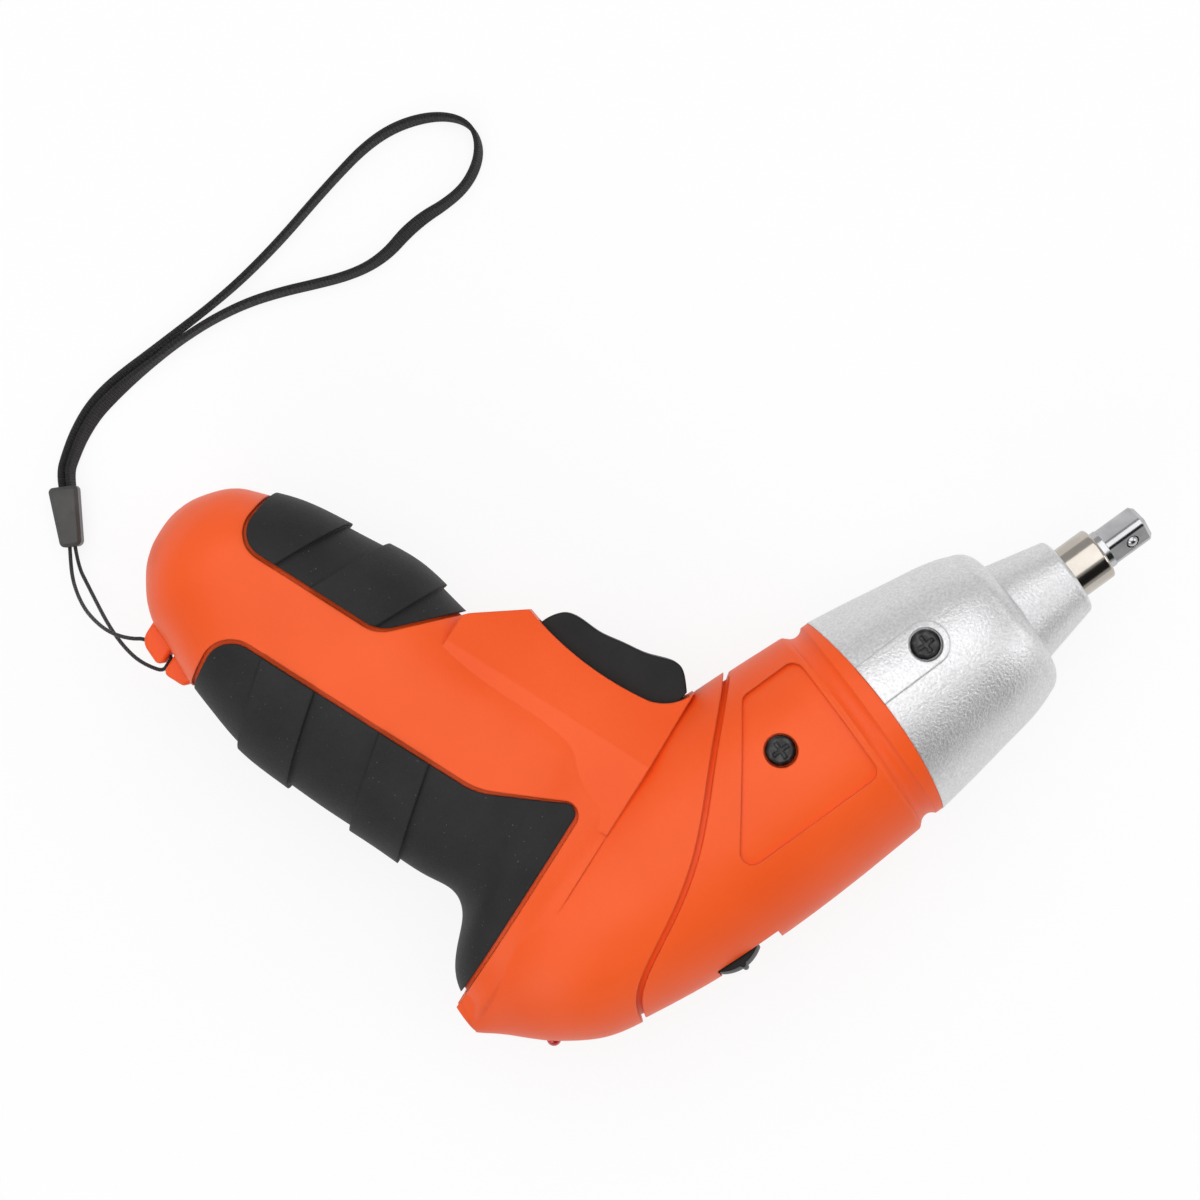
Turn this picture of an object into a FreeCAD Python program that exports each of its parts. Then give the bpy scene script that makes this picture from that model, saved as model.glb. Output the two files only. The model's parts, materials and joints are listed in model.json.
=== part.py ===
import FreeCAD, Part
import math
import os
from FreeCAD import Vector

# Pistol-grip electric screwdriver, lying on its right side with its wrist strap beside it.
# While it is modelled, X runs along the spindle towards the bit, Y down the handle and Z out of
# the left side, with the spindle on the X axis. At the end everything is moved so that the origin
# lies under the middle of the tool, on the surface that it lies on. Sizes are in millimetres.

# Cuts and fits
overrun = 60.0
slide_clearance = 0.3
running_clearance = 0.06
screw_clearance = 0.1
parting_gap = 0.02
seat_clearance = 0.1

# Barrel and rear dome of the housing
barrel_length = 96.3
barrel_half_height = 24.7
barrel_half_width = 23.0
shoulder_at = 5.6
shoulder_round = 1.2
housing_wall = 2.4
BARREL_SHARES = (
    (0.000, 0.947, 1.000),
    (0.100, 0.972, 1.000),
    (0.204, 0.992, 0.997),
    (0.307, 1.000, 0.987),
    (0.411, 0.996, 0.976),
    (0.515, 0.976, 0.961),
    (0.619, 0.931, 0.935),
    (0.702, 0.883, 0.896),
    (0.785, 0.806, 0.826),
    (0.847, 0.672, 0.704),
    (0.889, 0.551, 0.583),
    (0.930, 0.401, 0.426),
    (0.967, 0.267, 0.283),
    (1.000, 0.162, 0.174),
)
rear_facet_lean = 14.8

# Belt that wraps the rear of the barrel, and the groove in front of it
belt_step = 0.5
belt_groove_width = 1.2
belt_groove_depth = 1.0
belt_slant = 49.8
BELT_SHARES = (
    (0.120, 1.100),
    (0.156, 0.972),
    (0.276, 0.543),
    (0.409, 0.045),
    (0.511, -0.231),
    (0.615, -0.453),
    (0.686, -0.680),
    (0.703, -0.830),
    (0.712, -1.200),
)

# Collar at the front of the housing, and the bowed seam with the nose
collar_radius = 22.8
collar_bore_radius = 20.4
collar_groove_depth = 0.9
collar_groove_length = 3.6
seam_at = 10.8
seam_bow = 1.8

# Sunk panel on each side of the barrel
panel_depth = 0.6
panel_round = 2.5
panel_front_margin = 1.4
panel_length = 34.0
panel_height = 27.5
panel_drop = 8.2
panel_top_share = 0.38

# Handle: its axis leans back from the spindle, and starts at the crease below the barrel
handle_lean = 21.6
handle_root_back = 53.25
handle_root_drop = 10.25
handle_length = 105.9
handle_depth = 50.0
handle_half_thickness = 22.0
crease_step = 0.4
crease_half_width = 40.4
HANDLE_SHARES = (
    (0.038, -0.742, 0.692, 0.929, 2.00),
    (0.076, -0.688, 0.640, 0.946, 2.05),
    (0.104, -0.622, 0.620, 0.955, 2.10),
    (0.123, -0.536, 0.610, 0.960, 2.15),
    (0.142, -0.440, 0.600, 0.964, 2.20),
    (0.170, -0.384, 0.590, 0.969, 2.25),
    (0.227, -0.378, 0.580, 0.978, 2.35),
    (0.340, -0.376, 0.570, 0.991, 2.40),
    (0.453, -0.372, 0.598, 1.000, 2.40),
    (0.567, -0.360, 0.644, 1.000, 2.40),
    (0.661, -0.338, 0.634, 1.000, 2.40),
    (0.755, -0.276, 0.618, 0.996, 2.40),
    (0.831, -0.212, 0.592, 0.978, 2.35),
    (0.888, -0.150, 0.554, 0.920, 2.30),
    (0.925, -0.116, 0.527, 0.840, 2.20),
    (0.944, -0.085, 0.501, 0.775, 2.20),
    (0.963, -0.044, 0.462, 0.680, 2.15),
    (0.982, 0.011, 0.413, 0.545, 2.10),
    (0.992, 0.043, 0.381, 0.440, 2.05),
    (1.001, 0.082, 0.340, 0.315, 2.00),
    (1.008, 0.130, 0.290, 0.175, 2.00),
)

# Flank beside the trigger: flat sides, then a slanted facet to the front edge
flank_low = 46.75
flank_depth = 30.0
flank_corner_low = 37.0
flank_corner_depth = 37.1
flank_waist_low = 22.0
flank_waist_depth = 33.9
flank_top_low = 7.1
flank_top_depth = 34.2
flank_root_low = 2.7
flank_root_depth = 36.4
flank_back_depth = 8.0
flank_back_half = 19.5
flank_crease_depth = 23.5
flank_crease_half = 17.6
flank_edge_half = 9.8

# Rubber grips
grip_depth = 2.0
grip_gap = 0.9
grip_gap_depth = 1.3
band_height = 1.0
rear_grip_low = 84.0
rear_grip_high = 7.2
rear_grip_edge = 1.5
rear_grip_flare_low = 26.0
rear_grip_tip_depth = 10.5
rear_grip_low_round = 6.0
rear_grip_flare_round = 14.0
rear_grip_tip_round = 2.0
rear_band_slant_share = 0.23
REAR_BAND_SHARES = ((0.301, 0.408), (0.548, 0.662))
rear_band_depth = 18.5
front_grip_low = 91.4
front_grip_edge = 18.0
front_grip_high = 58.5
front_grip_low_round = 5.5
front_grip_high_round = 7.0
front_band_slant_share = 0.46
FRONT_BAND_SHARES = ((0.504, 0.640), (0.718, 0.935))
front_band_depth = 31.5

# Strap lug at the low rear corner of the handle
lug_high = 92.2
lug_low = 98.3
lug_depth = 12.5
lug_low_depth = 9.9
lug_round = 3.2
lug_half_width = 3.8
lug_rim_round = 0.8
lug_slot_width = 1.0
lug_ear_high = 85.2
lug_ear_depth = 13.0
lug_ear_round = 1.2
lug_tunnel_radius = 0.45
lug_tunnel_depth = 9.4

# Nose cone
nose_radius = 22.9
nose_skirt_length = 31.1
nose_wall = 2.4
NOSE_SHARES = ((0.0, 1.000), (0.286, 0.942), (0.596, 0.870), (0.907, 0.784), (1.0, 0.735))
nose_shoulder_length = 3.6
nose_cone_radius = 11.3
nose_tip_radius = 8.5
nose_cone_length = 13.2
nose_tip_round = 1.2
nose_chamber_length = 31.0
nose_chamber_end_radius = 13.5
nose_lip_length = 2.2
nose_lip_radius = 6.1
tab_height = 0.4
tab_half_width = 4.4
tab_length = 19.9

# Radial screws: one through each side of the housing and of the nose, into the gear case
screw_drop = 6.9
housing_screw_at = -8.85
nose_screw_at = 26.0
screw_head_radius = 3.0
screw_head_height = 1.9
screw_recess_radius = 3.35
screw_recess_depth = 2.3
screw_shank_radius = 1.45
screw_hold = 2.6
screw_slot_length = 3.6
screw_slot_width = 0.8
screw_slot_depth = 1.1
boss_radius = 4.2

# Trigger and its switch
trigger_half_width = 7.0
trigger_height = 32.0
trigger_high = 1.3
trigger_reach = 43.5
trigger_back_depth = 24.0
trigger_back_high = 3.4
trigger_back_low = 31.4
trigger_round = 0.5
trigger_travel = 5.0
TRIGGER_SHARES = (
    (0.998, 0.818),
    (0.947, 0.892),
    (0.894, 0.926),
    (0.828, 0.938),
    (0.659, 0.933),
    (0.497, 0.949),
    (0.331, 0.966),
    (0.216, 0.993),
    (0.125, 1.000),
    (0.047, 0.956),
    (0.000, 0.913),
)
switch_depth = 15.0
switch_high = 6.5
switch_height = 22.0
switch_half_width = 6.6
plunger_radius = 2.2
plunger_low = 17.5
plunger_length = 9.0

# Direction slider on top of the barrel
slider_back_at = -44.0
slider_length = 9.2
slider_travel = 4.6
slider_floor_radius = 22.6
slider_sector = 23.0
slider_knob_end = 23.9
slider_knob_crown = 25.4
slider_rib_radius = 0.6
slider_neck_half_width = 3.0
slider_neck_length = 4.0
slider_plate_half_width = 5.0
slider_plate_length = 8.0
slider_plate_thickness = 1.4
slider_plate_top = 19.3
selector_half_width = 4.6
selector_length = 16.0
slider_pad_margin = 1.5

# Motor
motor_radius = 13.85
motor_length = 38.0
motor_can_wall = 1.0
motor_cap_length = 3.4
motor_front_at = -18.0
motor_boss_radius = 5.0
motor_boss_length = 2.0
motor_shaft_radius = 1.15
motor_core_radius = 9.6
motor_core_length = 21.0
motor_commutator_radius = 3.6
motor_commutator_length = 6.0
motor_magnet_thickness = 2.6
motor_magnet_length = 26.0
motor_magnet_spread = 130.0
motor_tab_width = 3.0
motor_tab_thickness = 0.6
motor_tab_length = 5.0
motor_tab_offset = 9.0
motor_screw_offset = 8.0
motor_screw_radius = 1.25
motor_screw_head_radius = 2.3
motor_screw_head_height = 1.5

# Gear case and two-stage planetary gear train
gear_module = 0.7
sun_teeth = 9
planet_teeth = 15
ring_teeth = 39
planet_count = 3
pressure_angle = 20.0
addendum_share = 0.6
sun_addendum_share = 0.8
dedendum_share = 1.15
backlash_share = 0.2
case_radius = 17.5
case_front_radius = 15.2
case_plate = 2.5
case_step_at = 12.0
case_front_at = 32.0
case_front_bore_radius = 9.0
planet_width_one = 6.0
planet_width_two = 8.0
gear_gap = 0.5
carrier_radius = 12.4
carrier_one_thickness = 2.5
carrier_two_thickness = 3.5
pin_radius_one = 1.4
pin_radius_two = 1.8
pinion_bore_radius = 1.15

# Output spindle and hex chuck
spindle_radius = 4.75
spindle_stub_radius = 3.6
chuck_at = 40.0
chuck_radius = 5.65
chuck_front_at = 66.4
chuck_round = 0.7
hex_across = 6.35
hex_clearance = 0.12
hex_depth = 20.0
magnet_length = 3.0
magnet_radius = 2.9
washer_thickness = 0.9
washer_radius = 8.0
bush_wall = 1.75
rear_bush_length = 10.0
front_bush_length = 11.5
clip_thickness = 1.0
clip_groove_depth = 0.5
clip_rise = 1.2

# Hex-to-square socket adapter
adapter_neck_radius = 4.1
adapter_neck_length = 1.4
adapter_square = 6.35
adapter_square_length = 9.2
adapter_square_round = 1.4
adapter_tip_chamfer = 0.8
adapter_turn = 40.0
detent_radius = 1.35
detent_rise = 0.62
detent_back = 4.3
detent_bore_depth = 2.9
detent_travel = 0.6

# Battery of four cells along the handle
cell_radius = 7.1
cell_length = 49.0
cell_spacing = 14.4
cell_high = 36.5
cell_middle_depth = 7.6
cell_cap_radius = 2.6
cell_cap_height = 1.0
cell_tab_width = 5.0
cell_tab_thickness = 0.3
cradle_thickness = 2.0
CRADLE_SHARES = (0.12, 0.50, 0.88)

# Ribs that hold the motor and the gear case in the barrel
rib_thickness = 2.0
MOTOR_RIB_SHARES = (0.15, 0.85)
case_rib_back_at = -13.0
case_rib_front_at = 2.0

# Charge indicator, charge socket and charge board in the rear dome
lamp_radius = 1.5
lamp_length = 6.0
lamp_rise = 1.5
lamp_flange_radius = 2.1
lamp_flange_length = 1.0
lamp_at = -79.0
lamp_drop = -14.6
lamp_lean = 51.5
lamp_seat_depth = 3.9
jack_radius = 3.4
jack_bore_radius = 1.8
jack_length = 12.5
jack_bore_length = 11.0
jack_flange_radius = 4.6
jack_flange_length = 1.6
jack_flange_back = 6.5
board_at = -70.0
board_thickness = 1.6
board_height = 20.0
board_half_width = 9.0
board_low = 8.0
board_slot = 1.2

# Wrist strap: two strands of thread, a clip and a loop of flat webbing
thread_radius = 0.4
clip_narrow = 4.4
clip_wide = 6.2
clip_half_height = 2.4
clip_chamfer = 0.7
clip_narrow_round = 1.2
clip_wide_round = 1.0
webbing_width = 3.6
webbing_thickness = 1.0
surface_drop = 22.95
route_share = 0.45
THREAD_A_ROUTE = (
    (-97.47, 96.42, 0.0),
    (-98.21, 98.28, 0.0),
    (-100.2, 99.6, -0.5),
    (-102.3, 101.8, -2.0),
    (-104.0, 104.4, -4.2),
    (-105.2, 107.6, -7.3),
    (-105.95, 111.0, -10.8),
    (-105.95, 114.6, -14.4),
    (-105.4, 118.0, -17.6),
    (-104.1, 121.2, -19.7),
    (-102.29, 124.23, -20.5),
)
THREAD_B_ROUTE = (
    (-96.37, 93.63, 0.0),
    (-95.74, 92.05, 0.0),
    (-97.41, 91.39, 0.0),
    (-99.01, 90.81, 0.0),
    (-100.6, 92.9, -0.6),
    (-102.0, 95.6, -1.6),
    (-102.9, 98.8, -3.6),
    (-103.5, 102.6, -6.7),
    (-103.75, 106.7, -10.3),
    (-103.65, 111.2, -14.2),
    (-103.45, 115.6, -17.5),
    (-103.1, 119.9, -19.8),
    (-101.31, 123.71, -20.5),
)
CLIP_ROUTE = ((-101.8, 123.97, -20.5), (-95.95, 135.06, -20.5))
WEBBING_ROUTE = (
    (-96.09, 135.14),
    (-94.73, 137.70),
    (-91.7, 140.0),
    (-87.5, 142.7),
    (-82.2, 145.05),
    (-77.0, 146.15),
    (-71.8, 146.7),
    (-65.5, 147.0),
    (-58.3, 147.3),
    (-51.0, 147.5),
    (-43.5, 148.0),
    (-36.0, 149.0),
    (-28.0, 150.5),
    (-20.0, 152.4),
    (-12.0, 154.1),
    (-5.0, 155.35),
    (1.5, 155.4),
    (7.5, 153.9),
    (12.4, 151.3),
    (15.4, 148.0),
    (16.1, 144.6),
    (14.6, 141.0),
    (11.4, 138.2),
    (7.0, 136.4),
    (2.0, 136.1),
    (-3.0, 136.5),
    (-8.0, 136.1),
    (-13.0, 134.9),
    (-18.2, 134.9),
    (-23.5, 136.2),
    (-29.0, 138.4),
    (-35.8, 141.3),
    (-43.0, 143.7),
    (-51.0, 145.1),
    (-58.8, 145.5),
    (-65.5, 145.3),
    (-71.7, 145.0),
    (-76.8, 144.5),
    (-81.85, 143.5),
    (-86.9, 141.3),
    (-90.8, 138.8),
    (-93.32, 136.94),
    (-94.68, 134.38),
)

# Numbers of points that smooth sections are drawn through
oval_points = 24

# Directions and places worked out from the dimensions
lean = math.radians(handle_lean)
DOWN = Vector(-math.sin(lean), math.cos(lean), 0)
OUT = Vector(math.cos(lean), math.sin(lean), 0)
ROOT = Vector(-handle_root_back, handle_root_drop, 0)
AXIS = Vector(1, 0, 0)
SIDE = Vector(0, 0, 1)
sun_radius = gear_module * sun_teeth / 2
planet_radius = gear_module * planet_teeth / 2
ring_radius = gear_module * ring_teeth / 2
planet_orbit = sun_radius + planet_radius
case_back_at = motor_front_at
plate_front_at = case_back_at + case_plate
planets_one_at = plate_front_at + motor_screw_head_height + gear_gap
carrier_one_at = planets_one_at + planet_width_one + gear_gap
planets_two_at = carrier_one_at + carrier_one_thickness + gear_gap
carrier_two_at = planets_two_at + planet_width_two + gear_gap
spindle_back_at = carrier_two_at + carrier_two_thickness
case_bulkhead_at = spindle_back_at + washer_thickness + seat_clearance
nose_cone_at = seam_at + nose_skirt_length + nose_shoulder_length
nose_front_at = nose_cone_at + nose_cone_length
motor_back_at = motor_front_at - motor_length


def on_handle(low, depth, side=0):
    """Point given by its distance down the handle, forward of the handle's axis and to the left."""
    return ROOT + DOWN * low + OUT * depth + SIDE * side


def line(start, end):
    return Part.makeLine(start, end)


def arc(start, middle, end):
    return Part.Arc(start, middle, end).toShape()


def spline(points):
    curve = Part.BSplineCurve()
    curve.interpolate(points)
    return curve.toShape()


def face(edges):
    return Part.Face(Part.Wire(edges))


def turned(edges):
    """Solid of revolution about the spindle axis from closed edges in the XY plane."""
    return face(edges).revolve(Vector(0, 0, 0), AXIS, 360)


def rod(radius, start, end):
    """Cylinder from one point to another."""
    return Part.makeCylinder(radius, (end - start).Length, start, end - start)


def disc(radius, start_at, end_at):
    """Cylinder about the spindle axis."""
    return rod(radius, Vector(start_at, 0, 0), Vector(end_at, 0, 0))


def ring(outer, inner, start_at, end_at):
    return disc(outer, start_at, end_at).cut(disc(inner, start_at, end_at))


def rounded_outline(points, radii):
    """Closed edges through corner points, each corner rounded by its own radius."""
    edges = []
    joints = []
    count = len(points)
    for index in range(count):
        corner = points[index]
        back = (points[index - 1] - corner).normalize()
        ahead = (points[(index + 1) % count] - corner).normalize()
        if radii[index] == 0:
            joints.append((corner, corner, corner))
            continue
        half = back.getAngle(ahead) / 2
        reach = radii[index] / math.tan(half)
        middle = (back + ahead).normalize() * (radii[index] / math.sin(half) - radii[index])
        joints.append((corner + back * reach, corner + middle, corner + ahead * reach))
    for index in range(count):
        first, middle, last = joints[index]
        if (last - first).Length > 0:
            edges.append(arc(first, middle, last))
        edges.append(line(last, joints[(index + 1) % count][0]))
    return edges


def through(edges):
    """Prism of a closed outline in the XY plane, reaching past both sides of the tool."""
    outline = face(edges)
    outline.translate(SIDE * -overrun)
    return outline.extrude(SIDE * (overrun + overrun))


def handle_prism(corners, radii):
    return through(rounded_outline([on_handle(low, depth) for low, depth in corners], radii))


def closed_spline(points):
    """Smooth closed wire; its points are spaced evenly, so that sections blend into light surfaces."""
    curve = Part.BSplineCurve()
    curve.interpolate(Points=points, PeriodicFlag=True, Parameters=range(len(points) + 1))
    return Part.Wire([curve.toShape()])


def signed_power(value, power):
    return math.copysign(abs(value) ** power, value)


def oval(middle, across, half_across, half_side, squareness):
    """Superellipse in the plane of one direction and the tool's side direction."""
    points = []
    for step in range(oval_points):
        turn = 2 * math.pi * step / oval_points
        out = half_across * signed_power(math.cos(turn), 2 / squareness)
        side = half_side * signed_power(math.sin(turn), 2 / squareness)
        points.append(middle + across * out + SIDE * side)
    return closed_spline(points)


def mirrored(shape):
    return shape.mirror(Vector(0, 0, 0), SIDE)


def both_sides(shape):
    return Part.makeCompound([shape, mirrored(shape)])


def left_half(shape):
    """The left half of a shape, with its share of the gap along the parting line."""
    corner = Vector(-overrun * 3, -overrun * 3, parting_gap / 2)
    block = Part.makeBox(overrun * 6, overrun * 6, overrun, corner)
    return shape.common(block)


def barrel_form(inset, rows=BARREL_SHARES):
    """Barrel and dome, drawn in by an inset, through oval sections along the spindle."""
    wires = []
    for back, height, width in rows:
        middle = Vector(shoulder_at - back * barrel_length, 0, 0)
        half_height = height * barrel_half_height - inset
        half_width = width * barrel_half_width - inset
        wires.append(oval(middle, Vector(0, 1, 0), half_height, half_width, 2))
    return Part.makeLoft(wires, True, False)


def barrel_sizes_at(place):
    """Half height and half width of the belt at a place along the spindle."""
    share = (shoulder_at - place) / barrel_length
    for (back, height, width), (next_back, next_height, next_width) in zip(BARREL_SHARES, BARREL_SHARES[1:]):
        if share <= next_back:
            break
    part = (share - back) / (next_back - back)
    half_height = (height + (next_height - height) * part) * barrel_half_height
    half_width = (width + (next_width - width) * part) * barrel_half_width
    return half_height + belt_step, half_width + belt_step


def crease_section(inset):
    """Section at the crease: the belt's own section there, standing out by the crease's step."""
    points = []
    for step in range(oval_points):
        turn = 2 * math.pi * step / oval_points
        spot = on_handle(0, (crease_half_width - inset) * math.cos(turn))
        half_height, half_width = barrel_sizes_at(spot.x)
        rise = max(0, 1 - (spot.y / half_height) ** 2)
        side = half_width * math.sqrt(rise) + crease_step - inset
        blend = abs(math.sin(turn)) ** 0.5
        points.append(spot + SIDE * math.copysign(max(side, 0) * blend, math.sin(turn)))
    points[0] = on_handle(0, crease_half_width - inset)
    points[oval_points // 2] = on_handle(0, inset - crease_half_width)
    return closed_spline(points)


def handle_form(inset, rows=HANDLE_SHARES):
    """Handle below the crease, drawn in by an inset, through sections square to its axis."""
    wires = [crease_section(inset)]
    for low, rear, front, half, squareness in rows:
        rear_depth = rear * handle_depth + inset
        front_depth = front * handle_depth - inset
        middle = on_handle(low * handle_length, (rear_depth + front_depth) / 2)
        half_side = half * handle_half_thickness - inset
        wires.append(oval(middle, OUT, (front_depth - rear_depth) / 2, half_side, squareness))
    return Part.makeLoft(wires, True, False)


def behind_belt_edge(shift):
    """Prism of everything behind the belt's curved front edge, moved by a shift."""
    points = []
    for back, rise in BELT_SHARES:
        points.append(Vector(shoulder_at - back * barrel_length, rise * barrel_half_height, 0) + shift)
    far_low = Vector(-overrun * 2, points[-1].y, 0)
    far_high = Vector(-overrun * 2, points[0].y, 0)
    edges = [spline(points), line(points[-1], far_low), line(far_low, far_high), line(far_high, points[0])]
    return through(edges)


def ahead_of_seam():
    """Prism of everything in front of the bowed seam between housing and nose."""
    low = Vector(seam_at, -nose_radius, 0)
    high = Vector(seam_at, nose_radius, 0)
    bow = Vector(seam_at + seam_bow, 0, 0)
    far = overrun * 3
    corners = (
        Vector(seam_at, overrun, 0),
        Vector(far, overrun, 0),
        Vector(far, -overrun, 0),
        Vector(seam_at, -overrun, 0),
    )
    edges = [arc(low, bow, high), line(high, corners[0]), line(corners[3], low)]
    for index in range(3):
        edges.append(line(corners[index], corners[index + 1]))
    return through(Part.__sortEdges__(edges))


def rear_facet_cutter():
    """Block behind the slanted flat at the very rear of the dome."""
    slant = math.radians(rear_facet_lean)
    rear_radius = BARREL_SHARES[-1][1] * barrel_half_height + belt_step
    corner = Vector(shoulder_at - barrel_length, -rear_radius, 0)
    along = Vector(math.sin(slant), math.cos(slant), 0)
    top = corner + along * (rear_radius + rear_radius)
    back = Vector(-overrun, 0, 0)
    low = corner - along * rear_radius
    return through(rounded_outline([low, top, top + back, low + back], [0, 0, 0, 0]))


def collar():
    """Ring with a hollowed groove between the barrel's shoulder and the seam."""
    back_at = shoulder_at - collar_groove_length
    groove_start = Vector(shoulder_at, collar_radius, 0)
    groove_end = Vector(shoulder_at + collar_groove_length, collar_radius, 0)
    groove_low = (groove_start + groove_end) / 2 - Vector(0, collar_groove_depth, 0)
    front_at = seam_at + seam_bow + collar_groove_length
    edges = [
        line(Vector(back_at, 0, 0), Vector(back_at, collar_radius, 0)),
        line(Vector(back_at, collar_radius, 0), groove_start),
        arc(groove_start, groove_low, groove_end),
        line(groove_end, Vector(front_at, collar_radius, 0)),
        line(Vector(front_at, collar_radius, 0), Vector(front_at, 0, 0)),
        line(Vector(front_at, 0, 0), Vector(back_at, 0, 0)),
    ]
    return turned(edges).cut(ahead_of_seam())


def flank():
    """Flat-sided flank beside the trigger, ending in a sharp corner above the front grip."""
    start = on_handle(0, crease_half_width)
    root = on_handle(flank_root_low, flank_root_depth)
    top = on_handle(flank_top_low, flank_top_depth)
    waist = on_handle(flank_waist_low, flank_waist_depth)
    corner = on_handle(flank_corner_low, flank_corner_depth)
    end = on_handle(flank_low, flank_depth)
    inner_end = on_handle(flank_low, flank_back_depth)
    inner_start = on_handle(0, flank_back_depth)
    outline = [
        arc(start, root, top),
        arc(top, waist, corner),
        line(corner, end),
        line(end, inner_end),
        line(inner_end, inner_start),
        line(inner_start, start),
    ]
    slope = (flank_crease_half - flank_edge_half) / (flank_corner_depth - flank_crease_depth)
    tip_depth = crease_half_width
    tip_half = flank_edge_half - slope * (tip_depth - flank_corner_depth)
    section = [
        on_handle(0, flank_back_depth, -flank_back_half),
        on_handle(0, flank_crease_depth, -flank_crease_half),
        on_handle(0, tip_depth, -tip_half),
        on_handle(0, tip_depth, tip_half),
        on_handle(0, flank_crease_depth, flank_crease_half),
        on_handle(0, flank_back_depth, flank_back_half),
    ]
    wedge = Part.Face(Part.makePolygon(section + section[:1])).extrude(DOWN * flank_low)
    return through(outline).common(wedge)


def lug():
    """Knob and ear that the strap's thread is looped through, with a slot between them."""
    slot_high = lug_high - lug_slot_width
    knob = ((lug_high, 0), (lug_high, -lug_depth), (lug_low, -lug_low_depth), (lug_low, 0))
    ear = (
        (lug_ear_high, 0),
        (lug_ear_high, -lug_depth + lug_ear_round),
        (lug_ear_high + lug_ear_round, -lug_ear_depth),
        (slot_high, -lug_ear_depth),
        (slot_high, 0),
    )
    solids = []
    knob_radii = [0, lug_ear_round, lug_round, 0]
    ear_radii = [0, 0, lug_ear_round, lug_ear_round, 0]
    for corners, radii in ((knob, knob_radii), (ear, ear_radii)):
        outline = face(rounded_outline([on_handle(low, depth) for low, depth in corners], radii))
        solid = outline.extrude(SIDE * lug_half_width)
        rims = [edge for edge in solid.Edges if edge.BoundBox.ZMin > lug_half_width - lug_rim_round]
        solids.append(solid.makeFillet(lug_rim_round, rims))
    return solids[0].fuse(solids[1])


def lug_tunnel():
    start = on_handle(lug_high - lug_slot_width / 2, -lug_tunnel_depth)
    return rod(lug_tunnel_radius, start, on_handle(lug_low + lug_round, -lug_tunnel_depth))


def panel_cutter():
    """Outline of the sunk panel on the side of the barrel, open towards the outside."""
    front_at = shoulder_at - panel_front_margin
    high = panel_height - panel_drop
    corners = [
        Vector(front_at, -panel_drop, 0),
        Vector(front_at, high, 0),
        Vector(front_at - panel_top_share * panel_length, high, 0),
        Vector(front_at - panel_length, -panel_drop, 0),
    ]
    return through(rounded_outline(corners, [panel_round] * 4)).cut(barrel_form(panel_depth))


def belt_groove_cutter():
    slant = math.radians(belt_slant)
    shift = Vector(math.cos(slant), -math.sin(slant), 0) * belt_groove_width
    strip = behind_belt_edge(shift).cut(behind_belt_edge(Vector(0, 0, 0)))
    return strip.cut(barrel_form(belt_groove_depth))


def rear_grip_outline(margin):
    corners = (
        (rear_grip_low + margin, -overrun),
        (rear_grip_low + margin, rear_grip_edge + margin),
        (rear_grip_flare_low, rear_grip_edge + margin),
        (rear_grip_high - margin, rear_grip_tip_depth + margin),
        (rear_grip_high - margin, -overrun),
    )
    low_round = rear_grip_low_round + margin
    tip_round = rear_grip_tip_round + margin
    return handle_prism(corners, [0, low_round, rear_grip_flare_round, tip_round, 0])


def front_grip_outline(margin):
    slope = (flank_corner_depth - flank_depth) / (flank_low - flank_corner_low)
    tip_low = flank_corner_low - overrun
    tip_depth = flank_corner_depth + slope * overrun
    corners = (
        (front_grip_low + margin, tip_depth),
        (front_grip_low + margin, front_grip_edge - margin),
        (front_grip_high, front_grip_edge - margin),
        (flank_low - margin, flank_depth),
        (tip_low - margin, tip_depth),
    )
    low_round = front_grip_low_round + margin
    return handle_prism(corners, [0, low_round, front_grip_high_round, 0, 0])


def bands(shares, slant_share, depth):
    """Prisms of the raised bands that run slanting across a grip."""
    solids = []
    for high, low in shares:
        corners = []
        for edge, way in ((high, -1), (high, 1), (low, 1), (low, -1)):
            offset = way * overrun
            corners.append((edge * handle_length + slant_share * offset, depth + offset))
        solids.append(handle_prism(corners, [0, 0, 0, 0]))
    return Part.makeCompound(solids)


def grip(outline, band_prisms):
    """Left half of a rubber grip: a skin with raised bands, seated in its pocket."""
    skin = handle_form(0)
    raised = handle_form(-band_height).common(band_prisms)
    solid = left_half(skin.fuse(raised).common(outline))
    return solid.cut(handle_form(grip_depth, HANDLE_SHARES[:-2]))


def grip_pocket(outline, groove_outline):
    """Room for a grip, with a shallow groove round it."""
    pocket = outline.cut(handle_form(grip_depth, HANDLE_SHARES[:-2]))
    groove = groove_outline.cut(handle_form(grip_gap_depth, HANDLE_SHARES[:-2]))
    return pocket.fuse(groove)


def handle_box(high, low, back, front, half):
    """Box square to the handle, from one distance down it to another, even about the middle."""
    corners = [
        on_handle(high, back, -half),
        on_handle(low, back, -half),
        on_handle(low, front, -half),
        on_handle(high, front, -half),
    ]
    return Part.Face(Part.makePolygon(corners + corners[:1])).extrude(SIDE * (half + half))


def barrel_side_at(place, rise):
    """Height of the barrel's side over the middle plane at a place along and off the spindle."""
    half_height, half_width = barrel_sizes_at(place)
    return (half_width - belt_step) * math.sqrt(1 - (rise / (half_height - belt_step)) ** 2)


def nose_radius_at(place):
    share = (place - seam_at) / nose_skirt_length
    for (back, radius), (next_back, next_radius) in zip(NOSE_SHARES, NOSE_SHARES[1:]):
        if share <= next_back:
            break
    return (radius + (next_radius - radius) * (share - back) / (next_back - back)) * nose_radius


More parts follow.
